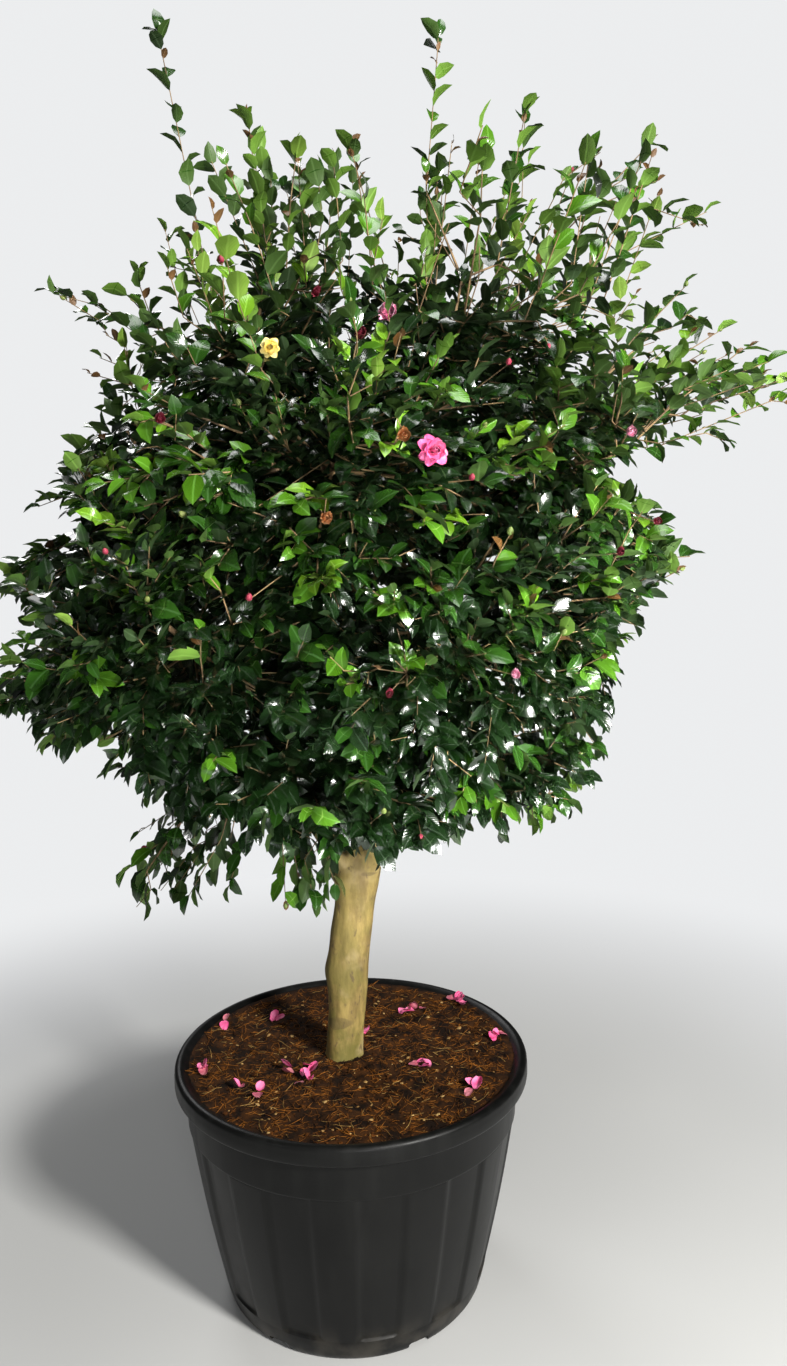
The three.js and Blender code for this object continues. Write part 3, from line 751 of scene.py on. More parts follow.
# single sprays beyond the round of the crown: where each comes from, and its ends
SPRAYS = [
    ((300, 0, 1560), [
        (640, -60, 1745), (700, 40, 1735), (720, -60, 1692), (762, 20, 1742), (788, -30, 1702),
        (824, 0, 1712), (690, 90, 1665), (655, -20, 1655), (610, 80, 1780), (735, 90, 1775),
        (745, -100, 1722), (668, -110, 1705), (800, 60, 1735), (575, 20, 1800), (590, -60, 1735),
        (560, 90, 1700), (640, 30, 1835), (600, -90, 1850), (680, -30, 1790), (565, -20, 1815),
        (580, 30, 1770), (560, 0, 1740),
    ]),
    ((-130, 0, 1060), [
        (-382, -60, 800), (-350, -30, 842), (-330, 60, 792), (-292, -80, 782), (-262, 20, 800),
        (-392, 20, 850), (-312, -20, 872), (-362, 80, 896), (-560, 0, 1078), (-92, 40, 776),
        (-64, -40, 800), (-338, 10, 768), (-405, 10, 790), (-420, -40, 818), (-372, 40, 756),
        (-415, 50, 870), (-228, -20, 780), (-76, 10, 762), (-40, 70, 790), (-385, -90, 768),
        (-112, -90, 772), (-85, -60, 768), (-58, -100, 776), (-38, -70, 780), (-20, -80, 800),
        (-500, -20, 1066), (-540, 30, 1062), (-470, 20, 1080), (-520, 60, 1060), (-548, -30, 1070),
        (-578, 20, 1084), (-532, 0, 1066),
    ]),
    ((165, 0, 1800), [
        (160, -30, 2070), (185, 20, 2090), (150, 40, 2050), (205, -50, 2110), (175, 60, 2040),
    ]),
    ((-110, 0, 1800), [(-130, 0, 2125), (-150, 30, 2085), (-112, -30, 2060), (-138, -60, 2105)]),
    ((250, 0, 1150), [
        (395, -20, 960), (420, 20, 985), (380, -60, 940), (405, 60, 955), (432, -10, 1000),
        (360, 0, 925), (345, -60, 915), (440, 30, 968), (415, -50, 948), (385, 30, 928),
    ]),
    ((250, 0, 1380), [(632, -40, 1392), (612, 60, 1418), (602, -80, 1368), (560, 40, 1462)]),
    ((-150, 0, 1650), [
        (-452, 40, 1878), (-430, -30, 1850), (-492, 0, 1868), (-410, 60, 1905), (-440, 20, 1770),
        (-452, -20, 1735), (-436, 40, 1700), (-420, 0, 1805), (-560, 0, 1500), (-545, 30, 1512),
    ]),
]
# open and half-open flowers of the near side as the camera sees them: x, height, width, looks
FLOWERS = [
    (167, 1590, 38, "open"), (84, 1836, 33, "half"), (-128, 1778, 29, "cream"),
    (110, 1617, 22, "faded"), (-34, 1469, 22, "faded"), (-41, 1874, 17, "dark"), (-334, 1654, 18, "dark"),
    (35, 1799, 24, "dark"), (306, 1743, 11, "bud"), (527, 1619, 20, "half"), (579, 1457, 17, "dark"),
    (511, 1401, 17, "dark"), (238, 1538, 11, "bud"), (316, 1177, 17, "half"), (80, 1142, 15, "dark"),
    (-178, 1323, 12, "bud"),
]
FINE_PATH_WEIGHT = 0.7
FINE_NEAREST = 20


def sphere_direction(i, count, jitter):
    z = 1 - (2 * i + 1) / count
    angle = i * GOLDEN_ANGLE + jitter
    flat = math.sqrt(1 - z * z)
    return vec(math.cos(angle) * flat, math.sin(angle) * flat, z)


def growth_places():
    random = seeded(41)
    found = []
    for i in range(TIPS):
        direction = sphere_direction(i, TIPS, (random() - 0.5) * 0.16)
        depth = TIP_DEPTH + (random() - 0.5) * 2 * TIP_WANDER
        point = CROWN + direction * (reach(direction) - depth)
        index = mass_at(point)
        found.append((index, point, "tip"))
        if i % 3 == 0:
            heart = masses[index]["heart"]
            found.append((index, heart + (point - heart) * MIDDLE_SHARE, "fork"))
    return found


def shoot_line(tip, source, length_back, bend_size, random, step_length, steps):
    inward = unit(source - tip)
    tip = tip + inward * length_back
    bend = across(inward) * (random() - 0.5) * bend_size
    line = [tip]
    for step in range(1, steps):
        wave = math.sin(step * 0.9) * min(1, step / 3)
        line.append(tip + inward * step * step_length + bend * wave)
    return line


def shoot_places():
    random = seeded(97)
    found = []
    for tip in np.array(SHOOTS, float):
        index = mass_at(tip)
        lean = clamp((tip[2] - 1650) / 450)
        height = CROWN[2] if tip[2] < CROWN[2] else 1480 + (500 - 1480) * lean
        source = vec(CROWN[0], CROWN[1], height)
        line = shoot_line(tip, source, SHOOT_LEAF_LENGTH * 0.75, 50, random, SHOOT_STEP, 9)
        found.append((index, line[0], "shoot_end"))
        for point in line[1:]:
            if in_outline(point, 0.86) or not in_space(index, point, 12):
                break
            found.append((index, point, "shoot"))
    return found


def bloom_places():
    found = []
    for x, z, side in BLOOMS:
        left, right_side, deep = outline_at(z)
        share = (2 * x - left - right_side) / (right_side - left)
        point = vec(x, side * (deep * math.sqrt(1 - share * share) - 12), z)
        found.append((mass_at(point), point, "bloom"))
    return found


def lumps(direction):
    """Slow swells and hollows of the crown's surface, about -1 to 1."""
    x, y, z = direction
    swell = math.sin(6.1 * x + 2.3 * y + 0.7) + math.sin(5.3 * y - 3.9 * z)
    return (swell + math.sin(7.7 * z + 4.1 * x)) / 3


def body_reach(direction):
    """As fine_reach, but lower at the top, where only shoots go on."""
    share = clamp((direction[2] - 0.3) / 0.5)
    return fine_reach(direction) - 105 * share * share * (3 - 2 * share)


def thinned(point, draw):
    x, _, z = point
    return any(low < z < high and a < x < b and draw < share for low, high, a, b, share in THINNED)


def layer_places(layer):
    random = seeded(layer["seed"])
    found = []
    for i in range(layer["count"]):
        direction = sphere_direction(i, layer["count"], (random() - 0.5) * 0.5)
        wander = (random() - 0.5) * 2 * layer["wander"] + 30 * lumps(direction * 1.7)
        far = body_reach(direction)
        point = CROWN + direction * max(far - layer["depth"] - wander, 30 + 60 * random())
        if not thinned(point, random()):
            found.append((mass_at(point), point, "tip"))
    return found


def spray_places():
    random = seeded(613)
    found = []
    for source, tips in SPRAYS:
        for tip in np.array(tips, float):
            index = mass_at(tip)
            line = shoot_line(tip, np.array(source, float), 0, 26, random, YOUNG_STEP, 9)
            found.append((index, line[0], "young_end"))
            for point in line[1:]:
                if in_outline(point, 0.9) and in_view(point):
                    break
                found.append((index, point, "young"))
    return found


def carried_on_places():
    """Each shoot goes on to its real tip, where the solids have one large leaf."""
    found = []
    for tip in np.array(SHOOTS[:-1], float):
        inward = unit(vec(CROWN[0], CROWN[1], 1000) - tip)
        found.append((mass_at(tip), tip + inward * 40, "young_end"))
    return found


def flower_places():
    """The first point in the leafy crown on the line of sight to each flower."""
    found = []
    for number, (x, z, _, _) in enumerate(FLOWERS):
        points = [EYE + (vec(x, 0, z) - EYE) * share for share in np.linspace(0.6, 1.1, 130)]
        depths = [body_reach(unit(point - CROWN)) - np.linalg.norm(point - CROWN) for point in points]
        first = next((k for k, depth in enumerate(depths) if depth > 8), int(np.argmax(depths)))
        found.append((mass_at(points[first]), points[first], f"flower {number}"))
    return found


def young_shoot_places():
    """Short shoots out of the top and the shoulders of the crown."""
    random = seeded(577)
    found = []
    for i in range(YOUNG_SHOOTS):
        direction = sphere_direction(i, int(YOUNG_SHOOTS * 1.55), (random() - 0.5) * 0.6)
        if random() < 0.6 * (direction[2] - 0.15):
            continue
        start = CROWN + direction * (body_reach(direction) - 45)
        wander = vec(random() - 0.5, random() - 0.5, 0) * 0.7
        rise = unit(direction * 0.6 + UP * (0.4 + 0.5 * random()) + wander)
        most = SIDE_SHOOT + TOP_SHOOT * max(direction[2], 0) ** 0.7
        share = 0.8 + 0.2 * random() if random() < 0.3 + 0.3 * direction[2] else 0.2 + 0.45 * random()
        length = max(room_along(start, rise, most) * share, SHORTEST_SHOOT)
        tip = start + rise * length
        steps = max(2, int(np.linalg.norm(tip - start) / YOUNG_STEP))
        line = shoot_line(tip, start, 0, 14, random, YOUNG_STEP, steps)
        index = mass_at(tip)
        found.append((index, line[0], "young_end"))
        found.extend((index, point, "young") for point in line[1:])
    return found


coarse_places = [*growth_places(), *shoot_places(), *bloom_places()]
fine_places = [place for layer in LAYERS for place in layer_places(layer)]
fine_places += [*young_shoot_places(), *spray_places(), *carried_on_places(), *flower_places()]
print("places:", len(coarse_places), "as in the solids,", len(fine_places), "finer")


# %% Twigs of each mass
class Knee:
    def __init__(self, point, parent, way, kind=""):
        self.point, self.parent, self.way, self.kind = point, parent, way, kind
        self.ends = 0
        self.children = []


def grow(knees, own, index, path_weight, nearest, margin, half_width):
    """Joins each place to the twig point with the lowest cost, nearest places first."""
    foot = knees[0].point
    own.sort(key=lambda place: np.linalg.norm(place[1] - foot))
    points = np.array([knee.point for knee in knees])
    ways = np.array([knee.way for knee in knees])
    for _, point, kind in own:
        if margin and not in_space(index, point, margin):
            continue
        gaps = np.linalg.norm(points[2:] - point, axis=1)
        order = np.argsort(gaps + path_weight * ways[2:], kind="stable")[:4]
        closest = 2 if kind.startswith("flower") else nearest
        for pick in order:
            if gaps[pick] <= closest or not clear_of_limbs(points[2 + pick], point, half_width):
                continue
            way = ways[2 + pick] + gaps[pick]
            knees.append(Knee(point, knees[2 + pick], way, kind))
            points = np.vstack([points, point])
            ways = np.append(ways, way)
            break


def grow_mass(index):
    mass = masses[index]
    line = mass["bough"]["points"]
    ahead = unit(line[-1] - line[-2])
    foot = Knee(line[-1] + ahead * CLEAR, None, 0.0)
    start = Knee(foot.point + ahead * STEM_START, foot, STEM_START)
    heart = Knee(mass["heart"], start, STEM_START + np.linalg.norm(start.point - mass["heart"]))
    knees = [foot, start, heart]
    own = [place for place in coarse_places if place[0] == index]
    grow(knees, own, index, PATH_WEIGHT, NEAREST, 8, THICKEST)
    mass["coarse"] = len(knees)
    own = [place for place in fine_places if place[0] == index]
    grow(knees, own, index, FINE_PATH_WEIGHT, FINE_NEAREST, 0, 2)
    return knees


TWIG_TIP, TWIG_POWER = 0.95, 0.42
for index, mass in enumerate(masses):
    knees = grow_mass(index)
    for knee in knees:
        if knee.parent:
            knee.parent.children.append(knee)
    for knee in reversed(knees):
        knee.ends = max(1, knee.ends)
        if knee.parent:
            knee.parent.ends += knee.ends
    for knee in knees:
        knee.radius = min(THICKEST, TWIG_TIP * knee.ends**TWIG_POWER)
    mass["knees"] = knees
print("twig points:", sum(len(mass["knees"]) for mass in masses))
print("of them in the solids:", sum(mass["coarse"] for mass in masses))

# %% [markdown]
# ## Turning centre lines into twigs
#
# Each run of twig goes on into the child that leads straightest ahead. A run becomes a line of mesh
# vertices that carry their thickness, and one Geometry Nodes tree turns all lines of a ring of
# masses into tapering tubes. That keeps the rule in one place and the mesh light: four sides are
# enough for a twig a few millimetres thick.

# %% Runs of twig
STRAIGHT = 0.35
TWIG_SIDES = 4


def runs_of(knees):
    runs = []
    open_runs = [[knees[0], child] for child in knees[0].children]
    while open_runs:
        run = open_runs.pop()
        end = run[-1]
        while end.children:
            ahead = unit(end.point - run[-2].point)
            turns = sorted(end.children, key=lambda child: -unit(child.point - end.point).dot(ahead))
            straight = unit(turns[0].point - end.point).dot(ahead) > STRAIGHT
            open_runs.extend([end, child] for child in (turns[1:] if straight else turns))
            if not straight:
                break
            run.append(turns[0])
            end = turns[0]
        runs.append(run)
    return runs


def lines_mesh(name, runs):
    """All runs as chains of vertices with a thickness."""
    points, edges, thick = [], [], []
    for run in runs:
        start = len(points)
        for i, knee in enumerate(run):
            points.append(knee.point * MM)
            root = min(knee.radius * 0.9, run[1].radius * 1.15)
            tip_share = 0.7 if i == len(run) - 1 else 1.0
            thick.append((root if i == 0 else knee.radius * tip_share) * MM)
            if i:
                edges.append((start + i - 1, start + i))
    mesh = bpy.data.meshes.new(name)
    mesh.from_pydata([tuple(point) for point in points], edges, [])
    mesh.attributes.new("thick", "FLOAT", "POINT").data.foreach_set("value", np.array(thick, np.float32))
    return mesh


# %% A tree that makes twigs of lines
def make_twig_tree():
    tree = Growth("twigs_from_lines", Finish="Material")
    curve = tree.node("GeometryNodeMeshToCurve", None, {"Mesh": tree.given["Geometry"]})
    inputs = {"Resolution": TWIG_SIDES, "Radius": 1.0}
    circle = tree.node("GeometryNodeCurvePrimitiveCircle", None, inputs)
    thick = tree.attribute("thick", "FLOAT")
    inputs = {"Curve": curve, "Profile Curve": circle, "Scale": thick, "Fill Caps": True}
    skinned = tree.node("GeometryNodeCurveToMesh", None, inputs)
    smooth = tree.node("GeometryNodeSetShadeSmooth", None, {"Geometry": skinned})
    real = tree.node("GeometryNodeRealizeInstances", None, {"Geometry": smooth})
    return tree.ends_with(tree.painted(real, tree.given["Finish"]))


TWIG_TREE = make_twig_tree()
print("tree made:", TWIG_TREE.name)

# %% [markdown]
# ## Bark
#
# The trunk of a camellia is smooth and pale, mottled olive where moss and algae sit near the foot,
# with fine upright wrinkles, small dark scars and a swollen knot. Young twigs are tan. The colours
# come from noise stretched along the stem, so that the marks run upwards as bark does.

# %% Bark and twig finishes
bark = Finish("smooth_bark", Roughness=0.72)
streaks = bark.noise(9, 5, (4, 4, 1), 0.65)
blotches = bark.noise(13, 5, (1, 1, 0.6), 0.65)
specks = bark.noise(95, 2, (1, 1, 0.5))
height_up = bark.axis(2)
greenness = (1 - height_up.step(0.44, 0.8)) * 0.6 + 0.3
tan = bark.blend(streaks.step(0.35, 0.65), (0.36, 0.262, 0.078), (0.165, 0.112, 0.032))
olive = bark.blend(greenness * blotches.step(0.43, 0.6), tan, (0.13, 0.115, 0.02))
pale = bark.blend(bark.noise(19, 3).step(0.5, 0.75) * 0.45, olive, (0.5, 0.38, 0.2))
scars = bark.noise(14, 2, (1, 1, 2.2), 0.4).step(0.66, 0.7)
scarred = bark.blend(scars * 0.5, pale, (0.09, 0.06, 0.025))
speckled = bark.blend(specks.step(0.6, 0.7) * 0.7, scarred, (0.1, 0.065, 0.03))
bark.set(Base_Color=speckled)
bark.bump(bark.noise(38, 5, (3, 3, 1)) + specks * 0.4, 0.5, 0.002)

twig = Finish("twig_bark", Roughness=0.7)
twig_patches = twig.noise(24, 3).step(0.35, 0.65)
twig.set(Base_Color=twig.blend(twig_patches, (0.27, 0.175, 0.08), (0.1, 0.06, 0.028)))
print("finishes:", bark.material.name, twig.material.name)

# %% Twigs, one piece for each ring
for ring in RINGS:
    own = [mass for mass in masses if mass["ring"] == ring]
    runs = [run for mass in own for run in runs_of(mass["knees"])]
    holder = new_object("twig_lines", lines_mesh("twig_lines", runs))
    apply_tree(holder, TWIG_TREE, Finish=twig.material)
    piece = finished(holder, f"twigs_{ring}")
    keep(piece, [f"foliage_{mass['name']}" for mass in own])

# %% [markdown]
# ## Trunk, stems and boughs as one piece of wood
#
# On the real plant the limbs flow into each other. Simple tubes only cross. A voxel remesh melts
# the crossing tubes into one skin, a smoothing pass rounds the forks, and then every vertex is
# moved along its normal by a little noise for wrinkles and bumps.

# %% Wood
TRUNK_SIDES, TRUNK_ROWS, VOXEL = 56, 110, 0.003


def trunk_rings():
    rows = spline(TRUNK, TRUNK_ROWS)
    angle = angles(TRUNK_SIDES)
    rings = []
    for row_height, x, row_radius in rows:
        rise = row_height - TRUNK[0, 0]
        root = 4 * math.exp(-rise / 18) * np.cos(4 * angle + 0.6) - 3 * math.exp(-rise / 50)
        flute = 1.6 * np.cos(3 * angle + rise / 190)
        knot = 6 * math.exp(-(((row_height - 612) / 24) ** 2)) * np.maximum(0, -np.cos(angle)) ** 3
        rings.append(ring_at(angle, row_radius + root + flute + knot, row_height, x, 0.97))
    return np.array(rings)


wood_parts = [skin(trunk_rings())]
for stem in stems.values():
    wood_parts.append(tube(stem["points"], stem["radii"], 16))
for mass in masses:
    wood_parts.append(tube(mass["bough_fine"]["points"], mass["bough_fine"]["radii"], 12))
stub = spline([(14, -12, 806), (-16, -26, 836), (-34, -34, 856)], 6)
wood_parts.append(tube(stub, np.linspace(15, 9, 7), 12))
holder = object_from("wood_tubes", merged(wood_parts))
melt = holder.modifiers.new("melt", "REMESH")
melt.mode = "VOXEL"
melt.voxel_size = VOXEL
melt.use_smooth_shade = True
soften = holder.modifiers.new("soften", "SMOOTH")
soften.factor = 0.6
soften.iterations = 4
wood = finished(holder, "wood")
print("wood after the remesh:", triangles(wood), "triangles")


# %% Relief on the wood
def relief_at(point, room_to_move):
    x, y, z = point
    wrinkle = noise.fractal(Vector((x * 60, y * 60, z * 12)), 0.8, 2.1, 3)
    bump = noise.noise(Vector((x * 26, y * 26, z * 18 + 7)))
    return (wrinkle * 0.0006 + bump * 0.0011) * room_to_move


def vertex_rows(mesh, key):
    rows = np.zeros(len(mesh.vertices) * 3, np.float32)
    mesh.vertices.foreach_get(key, rows)
    return rows.reshape(-1, 3)


wood_co, normals = (vertex_rows(wood.data, key) for key in ("co", "normal"))
share = np.clip((0.95 - wood_co[:, 2]) / 0.12, 0.35, 1)
moves = np.array([relief_at(point, room_left) for point, room_left in zip(wood_co.tolist(), share)])
wood.data.vertices.foreach_set("co", (wood_co + normals * moves[:, None]).astype(np.float32).ravel())
wood.data.materials.append(bark.material)
limb_nodes = [name for name in nodes if name.startswith(("trunk", "stem_", "bough_"))]
keep(wood, limb_nodes)

# %% [markdown]
# ## Leaves
#
# A camellia leaf is leathery, oval and folded a little along its midrib, blunter and broader on
# this year's shoots. It shines above and is paler below. One leaf is a lens of eighteen triangles:
# ten above, with a midrib, and eight below round one point. A few leaves of different fold and
# curl are enough, because each one is turned and sized on its own.

# %% Blade shapes
STATIONS = [(0.15, 0.68), (0.45, 1.0), (0.79, 0.66)]
RIB_STATIONS = [0.32, 0.66]


def blade(name, fold, curl, twist, width):
    """A unit leaf along +X with its upper side to +Z."""
    points = [(0, 0, 0)]
    for s, w in STATIONS:
        for side in (1, -1):
            points.append((s, side * w * width, fold * w * width + twist * side * (s - 0.5)))
    points.append((1, 0, 0))
    middle_thick = 0.008
    points.extend((s, 0, middle_thick) for s in RIB_STATIONS)
    points.append((0.49, 0, -middle_thick))
    points = np.array(points)
    points[:, 2] += curl * (0.25 - (points[:, 0] - 0.45) ** 2) - curl * 0.0475
    faces, under = [], []
    for rim, flip in (([1, 3, 5], 0), ([2, 4, 6], 1)):
        above = [(0, 8, rim[0]), (8, rim[1], rim[0]), (8, 9, rim[1]), (9, rim[2], rim[1]), (9, 7, rim[2])]
        below = [(10, 0, rim[0]), (10, rim[0], rim[1]), (10, rim[1], rim[2]), (10, rim[2], 7)]
        for level, group in ((0, above), (1, below)):
            faces.extend(face[::-1] if flip ^ level else face for face in group)
            under.extend([level] * len(group))
    corners = points[np.array(faces)]
    lift = np.cross(corners[:, 1] - corners[:, 0], corners[:, 2] - corners[:, 0])[:, 2]
    faces = [face[::-1] if (up > 0) == bool(level) else face for face, up, level in zip(faces, lift, under)]
    mesh = mesh_from(name, (points, faces), 1)
    mesh.attributes.new("under", "INT", "FACE").data.foreach_set("value", under)
    sharp = mesh.attributes.new("sharp_edge", "BOOLEAN", "EDGE")
    rim_points = set(range(8))
    for edge in mesh.edges:
        sharp.data[edge.index].value = set(edge.vertices) <= rim_points
    uv = mesh.uv_layers.new(name="UVMap")
    for loop in mesh.loops:
        x, y, _ = points[loop.vertex_index]
        uv.data[loop.index].uv = (x, 0.5 + y / width / 2)
    return mesh


def shapes_collection(name, meshes):
    """A collection that isn't in the scene, for instancing."""
    found = bpy.data.collections.new(name)
    for mesh in meshes:
        found.objects.link(bpy.data.objects.new(mesh.name, mesh))
    return found


# fold along the midrib, curl, twist and half the width: five old shapes, then three young ones
BLADE_SHAPES = [
    (0.3, 0.35, 0.02, 0.28), (0.15, 0.6, -0.05, 0.29), (0.5, 0.15, 0.06, 0.26), (0.22, 0.1, 0.04, 0.3),
    (0.4, 0.85, -0.02, 0.27), (0.2, 0.3, 0.04, 0.32), (0.35, 0.5, -0.03, 0.3), (0.1, 0.7, 0.05, 0.33),
]
BLADES = shapes_collection("blades", [blade(f"blade_{k}", *shape) for k, shape in enumerate(BLADE_SHAPES)])
OLD_BLADES, YOUNG_BLADES = (0, 5), (5, 3)


# %% [markdown]
# The colour of a leaf follows its age and, in part, the light where it sits. Shoots of this year
# are light green with bronze tips, the leaves behind them are mid green, and last year's, low down
# and inside, are almost black green. That near black is also painted shade: the inside and the foot
# of the crown are dark with shade, and the lighter tones high up are partly painted light. Each tone
# is a finish of its own, plus a paler one for the underside. The midrib is a soft light line in the
# leaf's own UV map.


# %% Leaf finishes
def leaf_finish(name, colour, rough, coat=0.0):
    made = Finish(name, **{"Base Color": colour, "Specular IOR Level": 0.4})
    lighter = tuple(min(1, c * 1.4 + 0.004) for c in colour)
    darker = tuple(c * 0.7 for c in colour)
    tinted = made.blend(made.noise(7, 2).step(0.3, 0.7), darker, lighter)
    off_rib = (made.axis(1, "UV") - 0.5).math("ABSOLUTE")
    rib = 1 - off_rib.step(0.015, 0.07)
    rib_colour = tuple(min(1, c * 1.8 + 0.03) for c in colour)
    made.set(Base_Color=made.blend(rib * 0.55, tinted, rib_colour))
    made.set(Roughness=made.noise(40, 2) * 0.14 + rough, Coat_Weight=coat, Coat_Roughness=0.12)
    veins = ((made.axis(0, "UV") - off_rib * 0.9) * 42).math("SINE")
    made.bump(veins * 0.5 + rib * -1.5, 0.25 if coat else 0.12, 0.0006)
    return made.material


# coat, upper side and underside of each tone; the near-black deep one is partly painted shade
LEAF_TONES = {
    "deep": (1.0, (0.003, 0.014, 0.0015), (0.015, 0.036, 0.007)),
    "mid": (0.6, (0.012, 0.048, 0.0025), (0.036, 0.078, 0.011)),
    "fresh": (0.35, (0.045, 0.13, 0.005), (0.09, 0.18, 0.02)),
    "bright": (0.35, (0.095, 0.21, 0.009), (0.15, 0.26, 0.03)),
    "bronze": (0.35, (0.085, 0.04, 0.01), (0.12, 0.06, 0.02)),
}
DARKEST, MID, FRESH, BRIGHT, BRONZE = range(5)
leaf_finishes = []
for tone, (coat, upper_colour, lower_colour) in LEAF_TONES.items():
    leaf_finishes.append(leaf_finish(f"leaf_{tone}", upper_colour, 0.13, coat))
    leaf_finishes.append(leaf_finish(f"leaf_{tone}_underside", lower_colour, 0.45))
print("leaf finishes:", len(leaf_finishes))


# %% A tree that scatters shapes on prepared points
def scatter_tree(name, finishes):
    """Each point carries turn, size, shape and tone. The tone picks the finish."""
    tree = Growth(name, Shapes="Collection")
    shape, turn = tree.attribute("shape", "INT"), tree.attribute("turn", "QUATERNION")
    size = tree.attribute("size", "FLOAT")
    last = tree.scattered(tree.given["Geometry"], Instance_Index=shape, Rotation=turn, Scale=size)
    code = tree.attribute("tone", "INT") * 2.0 + tree.attribute("under", "INT")
    for number, material in enumerate(finishes):
        last = tree.painted(last, material, Selection=code.math("COMPARE", float(number), 0.1))
    return tree.ends_with(last)


def scattered(name, tree, shapes, rows):
    """Shapes set on rows of root, along, face, length, shape and tone (millimetres)."""
    roots, along, face, length, shape, tone = rows
    along = unit(along)
    face = unit(face - along * np.sum(face * along, axis=1, keepdims=True))
    axes = np.stack([along, np.cross(face, along), face], axis=1)
    turn = [Matrix(three).transposed().to_quaternion()[:] for three in axes.tolist()]
    mesh = bpy.data.meshes.new(name + "_points")
    mesh.from_pydata((roots * MM).tolist(), [], [])
    carried = {"turn": turn, "size": length * MM, "shape": shape, "tone": tone}
    kinds = {"turn": "QUATERNION", "size": "FLOAT", "shape": "INT", "tone": "INT"}
    for key, kind in kinds.items():
        values = np.asarray(carried[key]).astype(np.int32 if kind == "INT" else np.float32)
        mesh.attributes.new(key, kind, "POINT").data.foreach_set("value", values.ravel())
    holder = new_object(name + "_points", mesh)
    apply_tree(holder, tree, Shapes=shapes)
    piece = finished(holder, name)
    for key in (*kinds, "under"):
        if key in piece.data.attributes:
            piece.data.attributes.remove(piece.data.attributes[key])
    return piece


def columns_of(rows):
    return [np.array([row[k] for row in rows]) for k in range(6)]


LEAF_TREE = scatter_tree("leaves_on_points", leaf_finishes)
print("tree made:", LEAF_TREE.name)

# %% [markdown]
# ## Where each leaf sits
#
# Leaves stand alternately on the last stretch of a twig, in two ranks, and turn their upper side
# to the light: outwards and up. Low in the crown they hang. The code walks back along the twig from
# its end and sets a leaf every centimetre or two, further apart on a fast young shoot.

# %% Leaf places
LEAF_LENGTH = {"tip": (36, 9), "bloom": (36, 9), "young_end": (41, 9), "shoot_end": (43, 8)}
LEAF_STEP = {"tip": 11, "young_end": 21, "shoot_end": 25}
FIRST_TIP = 5
SAG_BELOW, FULL_SAG, MOST_SAG = 1330, 560, 0.95
OUTER_LEAVES, INNER_LEAVES, OUTER_DEPTH, OLD_SHADED_DEPTH = 8, 7, 150, 78
OLD_BRONZE, YOUNG_BRONZE, BRONZE_ABOVE = 0.04, 0.34, 1900


def walk_back(knee, distance):
    """The point and direction at a distance from a twig's end, or None past its foot."""
    here = knee
    left_over = distance
    while here.parent is not None:
        gap = here.way - here.parent.way
        if left_over <= gap:
            ahead = (here.point - here.parent.point) / gap
            return here.point - ahead * left_over, ahead
        left_over -= gap
        here = here.parent
    return None


def shoot_length(knee):
    """How far back a shoot carries leaves."""
    here = knee
    while here.parent is not None and here.parent.kind in ("shoot", "young"):
        here = here.parent
    return knee.way - here.way + 40


def tone_of_spray(knee, depth, random):
    """Leaf tone from the place in the crown: age, painted shade inside and low, painted light high."""
    height = knee.point[2]
    clump = noise.noise(Vector(knee.point * 0.011)) * 0.5
    draw = max(random() + clump, 0.01)
    if knee.kind in ("young_end", "shoot_end"):
        light_share = 0.2 if 1750 < height < 2080 else 0.03
        fresh_share = 0.25 if height > 2150 else 0.5
        return BRIGHT if draw < light_share else FRESH if draw < fresh_share + light_share else MID
    # painted shade: leaves deep inside the crown take the darkest tone
    if depth > OLD_SHADED_DEPTH:
        return DARKEST if draw < 0.85 else MID
    # painted light and shade by height: darker low down, lighter high up, where leaves are also younger
    upper = clamp((height - 1150) / 650)
    if draw < 0.09 * upper:
        return BRIGHT
    if draw < 0.04 + 0.4 * upper:
        return FRESH
    return MID if draw < 0.3 + 0.5 * upper else DARKEST


def depth_of(point):
    direction = unit(point - CROWN)
    return reach(direction) - np.linalg.norm(point - CROWN)


